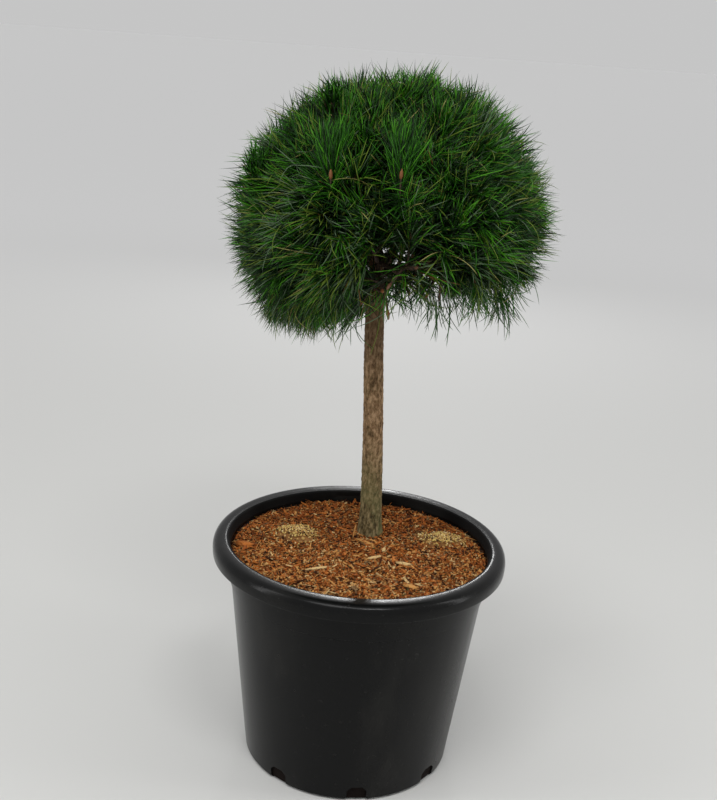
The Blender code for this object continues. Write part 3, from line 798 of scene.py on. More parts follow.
# %% [markdown]
# ## Limbs
# The trunk, the boughs and every twig are the same kind of thing: a ring that is carried along a path,
# shrinks as it goes, and is closed at both ends. The bark's relief is then pressed into the mesh along
# its normals. Noise that is stretched upwards gives the long fissures of a pine's bark.

# %% Limb maker
def stations(path, girths):
    """A placing matrix for each point of a path: square to it, untwisted and scaled to its girth."""
    ahead = (path[1] - path[0]).normalized()
    turn = ahead.to_track_quat("Z", "Y")
    for index, (point, girth) in enumerate(zip(path, girths)):
        before = path[max(index - 1, 0)]
        after = path[min(index + 1, len(path) - 1)]
        heading = (after - before).normalized()
        turn = ahead.rotation_difference(heading) @ turn
        ahead = heading
        yield Matrix.Translation(point) @ turn.to_matrix().to_4x4() @ Matrix.Scale(girth, 4)


def limb(bm, path, girths, sides):
    """A tapering limb: a ring extruded from point to point and closed flat at both ends."""
    placed = list(stations(path, girths))
    ring = bmesh.ops.create_circle(bm, segments=sides, radius=1.0, cap_ends=True)["verts"]
    bmesh.ops.transform(bm, matrix=placed[0], verts=ring)
    face = ring[0].link_faces[0]
    for last, following in zip(placed, placed[1:]):
        grown = bmesh.ops.extrude_face_region(bm, geom=[face])["geom"]
        moved = [item for item in grown if isinstance(item, bmesh.types.BMVert)]
        bmesh.ops.transform(bm, matrix=following @ last.inverted(), verts=moved)
        if last is not placed[0]:
            bmesh.ops.delete(bm, geom=[face], context="FACES_ONLY")
        face = next(item for item in grown if isinstance(item, bmesh.types.BMFace))


def along(path, share):
    """Point of a path at a share of its length."""
    reach = [0.0]
    for low, high in zip(path, path[1:]):
        reach.append(reach[-1] + (high - low).length)
    wanted = share * reach[-1]
    for index, (low, high) in enumerate(zip(reach, reach[1:])):
        if wanted <= high:
            return path[index].lerp(path[index + 1], (wanted - low) / max(high - low, 1e-9))
    return path[-1]


print("limb maker ready")

# %% [markdown]
# ## The trunk
# The stem is bare for 30 cm. Its bark is grey-green and closely fissured at the foot, warms to orange
# brown where thin flakes peel, and is scarred where side shoots were cut. The source gives the middle
# line and girth at a few heights, and a smooth curve through them gives all the rings between.

# %% Sizes of the trunk
TRUNK_HEAD = Vector((-0.0040, 0.0540))
TRUNK_GIRTH = [
    (0.0, 0.0180), (0.006, 0.0168), (0.022, 0.0155), (0.06, 0.0146), (0.15, 0.0137),
    (0.23, 0.0132), (0.307, 0.0127), (0.334, 0.0130), (0.357, 0.0113), (0.382, 0.0090), (0.413, 0.0060),
]
TRUNK_SWAY = 0.0012
TRUNK_SIDES = 72
TRUNK_STATIONS = 260
FISSURE = 0.00055
PLATE = 0.00060
STREAKS_PER_METRE = (420, 60)
GRAINS_PER_METRE = (900, 190)
PLATES_PER_METRE = (250, 110)
SCAR_COUNT = 11
SCAR_FROM = 0.05
SCAR_SPAN = 0.24
SCAR_JITTER = 0.008
SCAR_RISE = 0.0006
SCAR_SIZE = 0.0055
FLARE_HEIGHT = 0.03
FLARE_RELIEF = 0.0013
FLARE_RIDGES = 4


def trunk_point(up):
    """Middle of the trunk at a height above the medium."""
    share = up / TRUNK_GIRTH[-1][0]
    flat = TRUNK_FOOT.lerp(TRUNK_HEAD, share)
    return Vector((flat.x + TRUNK_SWAY * math.sin(share * 2 * math.pi), flat.y, MEDIUM_TOP + GAP + up))


def trunk_middle(height):
    """Middle of the trunk at a height above the floor."""
    return trunk_point(height - MEDIUM_TOP - GAP)


def trunk_radius(up):
    """Girth of the trunk at a height above the medium."""
    heights, girths = zip(*TRUNK_GIRTH)
    return float(np.interp(up, heights, girths))


def bark_relief(spot, scale):
    """How far the bark's surface stands out at a spot."""
    def stretched(across, up):
        """The spot in noise that is drawn out along the limb."""
        return Vector((spot.x * across, spot.y * across, spot.z * up)) * scale

    streaks = noise.noise(stretched(*STREAKS_PER_METRE))
    fine = noise.noise(stretched(*GRAINS_PER_METRE))
    distances, _ = noise.voronoi(stretched(*PLATES_PER_METRE))
    crack = min(1.0, (distances[1] - distances[0]) * 3.2)
    return -FISSURE * max(0.0, streaks) * 1.6 + FISSURE * 0.45 * fine + PLATE * (crack - 0.6)


# %% Finish of the bark
bark_finish = Finish("pine_bark", (0.13, 0.085, 0.045), 0.9, Specular_IOR_Level=0.2)
streak = bark_finish.speckle(260.0, 5.0, (1.0, 1.0, 0.42), 0.70)
fleck = bark_finish.speckle(420.0, 3.0, (1.0, 1.0, 0.55))
cloud = bark_finish.speckle(26.0, 3.0, (1.0, 1.0, 0.5))
aloft = bark_finish.between(bark_finish.height() + cloud * 0.10, 0.36, 0.52)
foot_bark = bark_finish.ramp(streak, [
    (0.36, (0.033, 0.024, 0.010)), (0.50, (0.126, 0.096, 0.042)), (0.64, (0.285, 0.222, 0.112))])
warm_bark = bark_finish.ramp(streak, [
    (0.36, (0.062, 0.032, 0.014)), (0.50, (0.225, 0.134, 0.066)), (0.64, (0.440, 0.290, 0.165))])
clean_bark = bark_finish.mix(aloft, foot_bark, warm_bark)
algae = bark_finish.between(cloud + fleck * 0.4, 0.66, 0.86) * (1 - aloft * 0.7)
coloured = bark_finish.mix(algae * 0.55, clean_bark, (0.150, 0.160, 0.062))
pale_flecks = bark_finish.between(fleck, 0.60, 0.74) * 0.40
flecked = bark_finish.mix(pale_flecks, coloured, (0.400, 0.320, 0.205))
# Painted shadow: the top of the stem, under the crown, is darkened towards dark brown.
crown_shadow_on_stem = bark_finish.between(bark_finish.height(), 0.50, 0.585) * 0.55
bark_finish.colour(bark_finish.mix(crown_shadow_on_stem, flecked, (0.060, 0.034, 0.018)))
bark_finish.relief(streak * 0.7 + fleck * 0.3, 0.0009)
print("bark finish ready")

# %% Raise the trunk
bm = bmesh.new()
rises = [TRUNK_GIRTH[-1][0] * step / TRUNK_STATIONS for step in range(TRUNK_STATIONS + 1)]
trunk_line = [trunk_point(up) for up in rises]
limb(bm, trunk_line, [trunk_radius(up) for up in rises], TRUNK_SIDES)
scars = []
for number in range(SCAR_COUNT):
    up = SCAR_FROM + SCAR_SPAN * number / SCAR_COUNT + chance.uniform(-SCAR_JITTER, SCAR_JITTER)
    bearing = number * GOLDEN_ANGLE + 0.4
    outward = Vector((math.cos(bearing), math.sin(bearing), 0))
    scars.append(trunk_point(up) + outward * trunk_radius(up))
bm.normal_update()
pressed = []
for vert in bm.verts:
    relief = bark_relief(vert.co, 1.0)
    for scar in scars:
        away = (vert.co - scar).length / SCAR_SIZE
        relief += SCAR_RISE * (math.exp(-away * away * 2) - 0.9 * math.exp(-away * away * 14))
    flare = max(0.0, 1 - (vert.co.z - MEDIUM_TOP) / FLARE_HEIGHT)
    bearing = math.atan2(vert.co.y - TRUNK_FOOT.y, vert.co.x - TRUNK_FOOT.x)
    relief += FLARE_RELIEF * flare * math.sin(bearing * FLARE_RIDGES + 0.7)
    pressed.append(relief)
for vert, relief in zip(bm.verts, pressed):
    level = Vector((vert.normal.x, vert.normal.y, 0))
    if trunk_line[0].z + 1e-5 < vert.co.z < trunk_line[-1].z - 1e-5:
        vert.co += level * relief
trunk = piece("trunk_bark", bm, bark_finish, "bark", ["trunk"], sharp_deg=75)
print("trunk:", len(trunk.data.polygons), "faces")

# %% [markdown]
# ## The plan of the crown
# The source spreads the shoot tips evenly under the crown's outline, deals them to thirteen masses by
# direction from the fork, and gives each mass a bough, a stem, three forks and a curved shoot to each
# tip. The same rule is written again here, so that the fine growth fills the same spaces. A few lobes
# swell the outline or draw it in.

# %% Sizes of the crown
FORK_Z = 0.690
BOUGH_REACH = 0.055
WHORLS = {
    "lower": {"count": 7, "root_z": 0.644, "stagger": 0.006, "girth": 0.0046,
              "rise_deg": 3, "turn_deg": 12},
    "upper": {"count": 5, "root_z": 0.675, "stagger": 0.003, "girth": 0.0044,
              "rise_deg": 41, "turn_deg": 34},
}
BOUGH_DIP_DEG = 8
BOUGH_SAG = 0.12
BOUGH_STEPS = 20
BOUGH_TIP_GIRTH = 0.0034
CROWN_MIDDLE = Vector((0.0119, 0.0540, 0.7131))
CROWN_LEAN_DEG = 4.0
CROWN_HALF_WIDTH = 0.2200
CROWN_RISE = 0.2222
CROWN_RISE_POWER = 2.25
CROWN_DROP = 0.1205
CROWN_DROP_POWER = 2.35
SKIRT_SWING = 0.37
SKIRT_BEARING_DEG = 139.0
HOLLOW_FROM_DEG = 50.0
HOLLOW_BAND_DEG = 16.0
HOLLOW_DEPTH = 0.5
LOBES = [
    {"bearing_deg": 183, "rise_deg": 14, "swell": 0.035},
    {"bearing_deg": 178, "rise_deg": 60, "swell": -0.025},
    {"bearing_deg": -36, "rise_deg": -13, "swell": 0.115},
    {"bearing_deg": -62, "rise_deg": -16, "swell": -0.030},
    {"bearing_deg": 187, "rise_deg": -9, "swell": -0.035},
    {"bearing_deg": 177, "rise_deg": -59, "swell": 0.030},
]
LOBE_SPREAD_DEG = 11.0
SHOOT_COUNT = 96
SHOOT_LOWEST_DEG = -47.0
SHOOT_INSET = 0.052
SHOOT_GIRTH = 0.0050
TWIGS_PER_STEM = 3
STEM_REACH = 0.080
SPACE_MARGIN = 0.0012


def heading_of(bearing_deg, rise_deg):
    """Unit vector from a bearing and an angle above the level."""
    bearing = math.radians(bearing_deg)
    rise = math.radians(rise_deg)
    return Vector((math.cos(rise) * math.cos(bearing), math.cos(rise) * math.sin(bearing), math.sin(rise)))


def bent(start, knee, end, steps):
    """Points of a curve that leaves start towards the knee and comes in to end from it."""
    shares = [step / steps for step in range(steps + 1)]
    return [start.lerp(knee, share).lerp(knee.lerp(end, share), share) for share in shares]


def plan_crown():
    """Each mass's name, its own direction from the fork, and the bough that carries it."""
    fork = trunk_middle(FORK_Z)
    up = Vector((0, 0, 1))
    plan = [{"name": "foliage_top", "axis": up, "bough": None, "tip": trunk_line[-1], "leaving": up}]
    for whorl, rule in WHORLS.items():
        for number in range(rule["count"]):
            bearing = rule["turn_deg"] + 360 * number / rule["count"]
            root = trunk_middle(rule["root_z"] + rule["stagger"] * (1 if number % 2 else -1))
            end = fork + BOUGH_REACH * heading_of(bearing, rule["rise_deg"] - BOUGH_DIP_DEG)
            span = end - root
            knee = root + 0.5 * span - Vector((0, 0, BOUGH_SAG * span.length))
            path = bent(root, knee, end, BOUGH_STEPS)
            bough = {"name": f"bough_{whorl}_{number + 1}", "path": path, "girth": rule["girth"]}
            plan.append({"name": f"foliage_{whorl}_{number + 1}", "bough": bough, "tip": end,
                         "axis": heading_of(bearing, rule["rise_deg"]),
                         "leaving": (path[-1] - path[-2]).normalized()})
    return fork, plan


def crown_reach(direction):
    """How far the crown's outline lies from its middle, for an array of directions."""
    own = direction @ np.array(Matrix.Rotation(math.radians(CROWN_LEAN_DEG), 3, "Y")).T
    up = own[..., 2]
    out = np.hypot(own[..., 0], own[..., 1])
    swing = np.cos(np.arctan2(own[..., 1], own[..., 0]) - math.radians(SKIRT_BEARING_DEG))
    rise = np.where(up >= 0, CROWN_RISE, CROWN_DROP * (1 + SKIRT_SWING * swing))
    power = np.where(up >= 0, CROWN_RISE_POWER, CROWN_DROP_POWER)
    reach = ((out / CROWN_HALF_WIDTH) ** power + (np.abs(up) / rise) ** power) ** (-1 / power)
    below = np.clip((-np.degrees(np.arcsin(np.clip(up, -1, 1))) - HOLLOW_FROM_DEG) / HOLLOW_BAND_DEG, 0, 1)
    swell = 1.0
    for lobe in LOBES:
        toward = np.array(heading_of(lobe["bearing_deg"], lobe["rise_deg"]))
        away = np.arccos(np.clip(direction @ toward, -1, 1)) / math.radians(LOBE_SPREAD_DEG)
        swell = swell + lobe["swell"] * np.exp(-away ** 2)
    return reach * (1 - HOLLOW_DEPTH * below * below * (3 - 2 * below)) * swell


def pushed_inside(point, mass, margin):
    """Move a point until it lies a margin inside its mass's space."""
    point = point.copy()
    for _ in range(12):
        depths = [((point - mass["fork"]).dot(normal), normal) for normal in mass["walls"]]
        depth, normal = min(depths, key=lambda pair: pair[0])
        if depth >= margin:
            break
        point += normal * (margin - depth)
    return point


def deal_shoots(fork, plan):
    """Bound each mass by the planes halfway to its neighbours, and deal the shoot tips to the masses."""
    for mass in plan:
        others = [other for other in plan if other is not mass]
        mass["fork"] = fork
        mass["walls"] = [(mass["axis"] - other["axis"]).normalized() for other in others]
        mass["tips"] = []
    lowest = math.sin(math.radians(SHOOT_LOWEST_DEG))
    for number in range(SHOOT_COUNT):
        up = 1 - (number + 0.5) / SHOOT_COUNT * (1 - lowest)
        out = math.sqrt(1 - up * up)
        bearing = number * GOLDEN_ANGLE
        direction = Vector((out * math.cos(bearing), out * math.sin(bearing), up))
        tip = CROWN_MIDDLE + direction * (float(crown_reach(np.array(direction))) - SHOOT_INSET)
        owner = max(plan, key=lambda mass: (tip - fork).normalized().dot(mass["axis"]))
        owner["tips"].append(pushed_inside(tip, owner, SHOOT_GIRTH + 3 * SPACE_MARGIN))


crown_fork, crown_plan = plan_crown()
deal_shoots(crown_fork, crown_plan)
print("crown:", len(crown_plan), "masses,", sum(len(mass["tips"]) for mass in crown_plan), "shoots")

# %% [markdown]
# ## Boughs
# Twelve boughs leave the trunk in two whorls. Each swells where it joins the stem, as a branch collar
# does, and carries the same bark at a finer scale.

# %% Grow the boughs
BOUGH_SIDES = 16
BOUGH_BARK_SCALE = 1.6
BOUGH_BARK_DEPTH = 0.7
BRANCH_COLLAR = 0.0026
BRANCH_COLLAR_REACH = 0.017


def grow_bough(bough):
    """One bough with its collar and the relief of its bark."""
    path, girths = bough["path"], []
    for index, point in enumerate(path):
        share = index / (len(path) - 1)
        swell = BRANCH_COLLAR * math.exp(-((point - path[0]).length / BRANCH_COLLAR_REACH) ** 2)
        girths.append(bough["girth"] + (BOUGH_TIP_GIRTH - bough["girth"]) * share + swell)
    bm = bmesh.new()
    limb(bm, path, girths, BOUGH_SIDES)
    bm.normal_update()
    moved = [vert.normal * bark_relief(vert.co, BOUGH_BARK_SCALE) * BOUGH_BARK_DEPTH for vert in bm.verts]
    for vert, shift in zip(bm.verts, moved):
        vert.co += shift
    piece(f"{bough['name']}_bark", bm, bark_finish, "bark", [bough["name"]], sharp_deg=75)


for mass in crown_plan:
    if mass["bough"]:
        grow_bough(mass["bough"])
print("boughs:", sum(1 for mass in crown_plan if mass["bough"]))

# %% [markdown]
# ## Twigs and shoots
# From each bough's tip a stem goes on into its mass and forks, and a shoot bends out to every tip that
# the source planned. The source stops there. A real pine forks once more, so each shoot gets three side
# shoots that end a little deeper, between their neighbours. Shoots turn up towards the light.

# %% Grow the twigs
TWIG_SIDES = 6
STEM_GIRTH_END = 0.0030
STEM_SUNK = 0.002
STEM_LEAVES = 0.012
STEM_STEPS = 6
FORK_GIRTH = (0.0031, 0.0026)
MAIN_GIRTH = (0.0025, 0.0019)
SIDE_GIRTH = (0.0019, 0.0015)
SHOOT_STEPS = 7
SHOOT_LEAVES = 0.4
SHOOT_ARRIVES = 0.45
SHOOT_KNEE = 0.6
LIFT = 0.50
DROOP = 0.20
SIDE_SHOOTS = 3
SIDE_REACH = 0.031
SIDE_REACH_RANGE = (0.8, 1.15)
SIDE_DEEPER = 0.016
SIDE_DEEPER_RANGE = (0.3, 1.4)
SIDE_START = (0.35, 0.6)
SIDE_TURN = 0.5
FORK_SHARE = 0.42
TIP_JITTER = (-0.013, 0.006)


def outward(point):
    """Direction from the crown's middle to a point."""
    return (point - CROWN_MIDDLE).normalized()


def shoot_heading(point):
    """The way a shoot points at its end: outward, turned up in the dome and down in the skirt."""
    away = outward(point)
    lift = LIFT * max(0.0, min(1.0, (away.z + 0.25) / 0.5)) - DROOP
    return (away + Vector((0, 0, lift))).normalized()


def reach_to(start, leaving, end):
    """A shoot's path: it leaves along one heading and arrives along its own."""
    span = (end - start).length
    leaves = start + leaving * span * SHOOT_LEAVES
    arrives = end - shoot_heading(end) * span * SHOOT_ARRIVES
    return bent(start, leaves.lerp(arrives, SHOOT_KNEE), end, SHOOT_STEPS)


def grow_shoots(mass):
    """Every twig of one mass, as paths with their girths, and its needle-bearing shoots."""
    axis, tip = mass["axis"], mass["tip"]
    node = mass["fork"] + axis * STEM_REACH
    girth = BOUGH_TIP_GIRTH if mass["bough"] else TRUNK_GIRTH[-1][1]
    leaving = mass["leaving"]
    stem = bent(tip - leaving * STEM_SUNK, tip + leaving * STEM_LEAVES, node, STEM_STEPS)
    twigs = [(stem, (girth, STEM_GIRTH_END))]
    shoots = []
    across = axis.orthogonal().normalized()
    beside = axis.cross(across)
    around = sorted(mass["tips"],
                    key=lambda end: math.atan2((end - node).dot(beside), (end - node).dot(across)))
    each = math.ceil(len(around) / TWIGS_PER_STEM)
    for first in range(0, len(around), each):
        ends = around[first:first + each]
        centre = sum(ends, Vector()) / len(ends)
        fork = node.lerp(centre, FORK_SHARE)
        twigs.append(([node, node.lerp(fork, 0.5), fork], FORK_GIRTH))
        for planned in ends:
            end = planned + outward(planned) * chance.uniform(*TIP_JITTER)
            path = reach_to(fork, (fork - node).normalized(), end)
            twigs.append((path, MAIN_GIRTH))
            shoots.append({"path": path, "main": True})
            turn = chance.uniform(0, 2 * math.pi)
            for number in range(SIDE_SHOOTS):
                away = outward(end)
                aside = away.orthogonal().normalized()
                turn += 2 * math.pi / SIDE_SHOOTS + chance.uniform(-SIDE_TURN, SIDE_TURN)
                aside = Matrix.Rotation(turn, 3, away) @ aside
                side_end = end + aside * SIDE_REACH * chance.uniform(*SIDE_REACH_RANGE)
                side_end -= away * SIDE_DEEPER * chance.uniform(*SIDE_DEEPER_RANGE)
                start = along(path, chance.uniform(*SIDE_START))
                side = reach_to(start, (path[4] - path[3]).normalized(), side_end)
                twigs.append((side, SIDE_GIRTH))
                shoots.append({"path": side, "main": False})
    return twigs, shoots


twig_finish = Finish("young_bark", (0.10, 0.060, 0.030), 0.85)
rings_of_scales = twig_finish.speckle(420.0, 4.0, (1.0, 1.0, 1.0), 0.7)
twig_finish.colour(twig_finish.ramp(rings_of_scales, [
    (0.35, (0.020, 0.012, 0.007)), (0.52, (0.066, 0.040, 0.021)), (0.68, (0.140, 0.088, 0.046))]))
twig_finish.relief(rings_of_scales, 0.0008)

bm = bmesh.new()
for mass in crown_plan:
    twigs, mass["shoots"] = grow_shoots(mass)
    for path, (thick, thin) in twigs:
        girths = [thick + (thin - thick) * step / (len(path) - 1) for step in range(len(path))]
        limb(bm, path, girths, TWIG_SIDES)
foliage_names = [mass["name"] for mass in crown_plan]
twig_piece = piece("crown_twigs", bm, twig_finish, "bark", foliage_names, sharp_deg=75)
shoot_paths = [shoot["path"] for mass in crown_plan for shoot in mass["shoots"]]
print("twigs:", len(twig_piece.data.polygons), "faces,", len(shoot_paths), "shoots")

# %% [markdown]
# ## Needles
# Mugo pine carries its needles in pairs, 5 to 6 cm long and little more than a millimetre wide, flat on
# the inside and ridged on the outside. We could scatter one needle with a particle system, but then none
# of them would survive an export. Instead every needle is its own closed three-sided blade with two
# bends, and all the needles of a mass become one mesh, worked out by NumPy in a single pass.

# %% Sizes and colours of the needles
NEEDLE_LENGTH = (0.044, 0.064)
LONG_SHARE = 0.10
LONG_FACTOR = 1.3
LONG_PAST = 0.005
NEEDLE_WIDTH = 0.0014
NEEDLE_THICKNESS = 0.0010
NEEDLES_ON_MAIN = 170
NEEDLES_ON_SIDE = 142
NEEDLED_LENGTH = {True: 0.070, False: 0.056}
NEEDLED_SHARE = 0.95
CROWDING = 1.1
SPREAD_DEG = (10.0, 56.0)
SPREAD_POWER = 0.85
SPREAD_JITTER_DEG = 13.0
PAIR_DEG = 9.0
PAIR_JITTER = 0.12
TWIST = 0.5
INWARD_CURL = 0.44
CURL_RANGE = (0.3, 1.5)
SAG = 0.24
SAG_RANGE = (0.2, 1.6)
SKIRT_SAG = 0.9
SKIRT_TOP = 0.02
SKIRT_BAND = 0.10
SKIRT_PAST = 0.016
WANDER = 0.31
LOOSE_SHARE = 0.12
LOOSE_WANDER = 0.80
LOOSE_OLIVE = 0.5
SPRAY_INSET = 0.018
FRINGE = 0.005
SHORTEST = 0.022
SHORTEST_KEPT = 0.024
NEEDLE_BENDS = ((0.0, 0.7), (0.38, 1.0), (0.76, 0.9))
TRUNK_CLEARANCE = 0.018

# The darkest green is for old needles deep in the crown, painted near-black as painted shade.
NEEDLE_COLOURS = {
    "needle_old_shaded": (0.005, 0.019, 0.003), "needle_deep": (0.009, 0.048, 0.003),
    "needle_green": (0.022, 0.118, 0.003), "needle_fresh": (0.064, 0.255, 0.009),
    "needle_olive": (0.125, 0.190, 0.022), "needle_grey": (0.112, 0.172, 0.094),
    "needle_straw": (0.330, 0.300, 0.100), "needle_rust": (0.200, 0.090, 0.030),
}
needle_finishes = palette(NEEDLE_COLOURS, 0.43, Specular_IOR_Level=0.19)
(OLD_SHADED_NEEDLE, DEEP_NEEDLE, GREEN_NEEDLE, FRESH_NEEDLE,
 OLIVE_NEEDLE, GREY_NEEDLE, STRAW_NEEDLE, RUST_NEEDLE) = range(len(NEEDLE_COLOURS))
# High sprays draw more bright greens and low sprays more grey and pale greens: partly the needles' own
# colours, partly painted light from above on the top and painted sheen on the lower needles.
TOP_SHARES = np.array([0.13, 0.28, 0.32, 0.20, 0.05, 0.02])
SKIRT_SHARES = np.array([0.11, 0.17, 0.21, 0.14, 0.12, 0.25])
STRAY_SHARE = 0.60
OLD_SHADED_SHARE = 0.95
OLD_SHADED_POWER = 0.7
DEAD_SHARE = 0.007
DEAD_SHARES = [0.7, 0.3]
BLEND_FROM = -0.06
BLEND_SPAN = 0.20
AIRY = {"pixel": (403, 284), "half_size": (41, 40), "kept": (0.08, 0.01)}


def blade_corners(rings):
    """Triangles of a needle: its root's face, its sides from ring to ring, and its point."""
    ring = np.arange(3)
    after = (ring + 1) % 3
    parts = [[[0, 2, 1]]]
    for low in range(0, 3 * (rings - 1), 3):
        parts.append(np.stack([ring + low, after + low, after + low + 3], 1))
        parts.append(np.stack([ring + low, after + low + 3, ring + low + 3], 1))
    last = 3 * (rings - 1)
    parts.append(np.stack([ring + last, after + last, np.full(3, last + 3)], 1))
    return np.concatenate(parts)


print("a needle has", len(blade_corners(len(NEEDLE_BENDS))), "triangles")


# %% Work out the needles
def unit(vectors):
    """Vectors at unit length."""
    return vectors / np.linalg.norm(vectors, axis=-1, keepdims=True)


def square_to(line):
    """Two unit vectors that are square to a line and to each other."""
    across = unit(np.cross(line, np.array([0.31, 0.52, 0.79])))
    return across, np.cross(line, across)


def needle_piece(name, points, finish_of, nodes=()):
    """Make one piece of all the needles in an array of their points, and count its triangles."""
    linked = blade_corners(points.shape[1] // 3)
    steps = np.arange(len(points))[:, None, None] * points.shape[1]
    corners = (linked[None] + steps).reshape(-1, 3)
    joined(name, points.reshape(-1, 3), corners, np.repeat(finish_of, len(linked)), needle_finishes,
           "needles", nodes)
    return len(corners)


def spray(shoot):
    """Roots, headings, shoot lines and ages of the needles round one shoot."""
    path = np.array([point[:] for point in shoot["path"]])
    lengths = np.linalg.norm(np.diff(path, axis=0), axis=1)
    reach = np.concatenate([[0], np.cumsum(lengths)])
    count = NEEDLES_ON_MAIN if shoot["main"] else NEEDLES_ON_SIDE
    needled = min(NEEDLED_LENGTH[shoot["main"]], NEEDLED_SHARE * reach[-1])
    number = np.arange(count)
    back = needled * ((number + 0.5) / count) ** CROWDING
    at = reach[-1] - back
    roots = np.stack([np.interp(at, reach, path[:, axis]) for axis in range(3)], 1)
    leg = np.clip(np.searchsorted(reach, at) - 1, 0, len(lengths) - 1)
    line = unit(np.diff(path, axis=0))[leg]
    across, beside = square_to(line)
    age = back / NEEDLED_LENGTH[True]
    spread = SPREAD_DEG[0] + (SPREAD_DEG[1] - SPREAD_DEG[0]) * age ** SPREAD_POWER
    spread = np.radians(spread + chance.normal(0, SPREAD_JITTER_DEG, count))
    around = (number // 2) * GOLDEN_ANGLE + np.radians(PAIR_DEG) * (number % 2)
    around = around + chance.normal(0, PAIR_JITTER, count)
    ring_out = across * np.cos(around)[:, None] + beside * np.sin(around)[:, None]
    heading = line * np.cos(spread)[:, None] + ring_out * np.sin(spread)[:, None]
    return roots, heading, line, age


def paint(age, height):
    """Each needle's finish number: mostly its spray's own colour, with strays, dead ones, and old ones far
    back on the shoot painted near-black as painted shade deep in the crown.
    """
    count = len(age)
    # Blend by height from the low sprays' greyer mix (partly painted sheen) to the top's brighter mix
    # (partly painted light from above).
    share = min(1.0, max(0.0, (height - CROWN_MIDDLE.z - BLEND_FROM) / BLEND_SPAN))
    odds = SKIRT_SHARES * (1 - share) + TOP_SHARES * share
    own = chance.choice(len(odds), p=odds)
    finish_of = np.full(count, own)
    stray = chance.uniform(0, 1, count) < STRAY_SHARE
    finish_of[stray] = chance.choice(len(odds), stray.sum(), p=odds)
    # Needles far back on the shoot are old ones, painted near-black: painted shade deep in the crown.
    finish_of[chance.uniform(0, 1, count) < OLD_SHADED_SHARE * age ** OLD_SHADED_POWER] = OLD_SHADED_NEEDLE
    dead = chance.uniform(0, 1, count) < DEAD_SHARE
    finish_of[dead] = chance.choice([STRAW_NEEDLE, RUST_NEEDLE], dead.sum(), p=DEAD_SHARES)
    return finish_of


def within_outline(roots, heading, curl, length, inset):
    """Shorten the needles that would come nearer to the crown's outline than their spray may."""
    middle = np.array(CROWN_MIDDLE)
    depth = inset + chance.exponential(FRINGE, len(length))
    for _ in range(3):
        tips = roots + length[:, None] * (heading + 0.5 * curl) - middle
        out = np.linalg.norm(tips, axis=1)
        excess = out - crown_reach(tips / out[:, None]) + depth
        length = np.clip(length - np.maximum(excess, 0), SHORTEST, None)
    return length


def blades(roots, heading, curl, line, length, bends):
    """Points of every needle: a ring of three at each bend, and a tip."""
    flat = unit(np.cross(heading, line))
    twist = chance.normal(0, TWIST, len(roots))[:, None]
    points = []
    for step, width in bends:
        centre = roots + length[:, None] * (heading * step + 0.5 * curl * step ** 2)
        ahead = unit(heading + curl * step)
        wide = unit(flat - ahead * (flat * ahead).sum(1, keepdims=True))
        out = np.cross(ahead, wide)
        turned_wide = wide * np.cos(twist * step) + out * np.sin(twist * step)
        turned_out = out * np.cos(twist * step) - wide * np.sin(twist * step)
        half = turned_wide * NEEDLE_WIDTH / 2 * width
        points += [centre - half, centre + half, centre + turned_out * NEEDLE_THICKNESS * width]
    points.append(roots + length[:, None] * (heading + 0.5 * curl))
    return np.stack(points, 1)


def clear_of_trunk(roots, tips):
    """Whether needles keep out of the trunk."""
    clear = np.ones(len(roots), bool)
    for share in (0.0, 0.5, 1.0):
        at = roots * (1 - share) + tips * share
        up = (at[:, 2] - MEDIUM_TOP) / TRUNK_GIRTH[-1][0]
        x = TRUNK_FOOT.x + (TRUNK_HEAD.x - TRUNK_FOOT.x) * up
        y = TRUNK_FOOT.y + (TRUNK_HEAD.y - TRUNK_FOOT.y) * up
        clear &= (np.hypot(at[:, 0] - x, at[:, 1] - y) > TRUNK_CLEARANCE) | (up > 1.0)
    return clear


def in_airy_gap(spots):
    """Whether points show where the photograph looks through the crown beside the stem."""
    right, up, ahead = (np.array(axis) for axis in view_axes())
    seen = spots - np.array(CAMERA_AT)
    depth = seen @ ahead
    across = PHOTO_SIZE[0] / 2 + CAMERA_FOCUS * (seen @ right) / depth
    down = PHOTO_SIZE[1] / 2 - CAMERA_FOCUS * (seen @ up) / depth
    (x, y), (wide, high) = AIRY["pixel"], AIRY["half_size"]
    return ((across - x) / wide) ** 2 + ((down - y) / high) ** 2 < 1


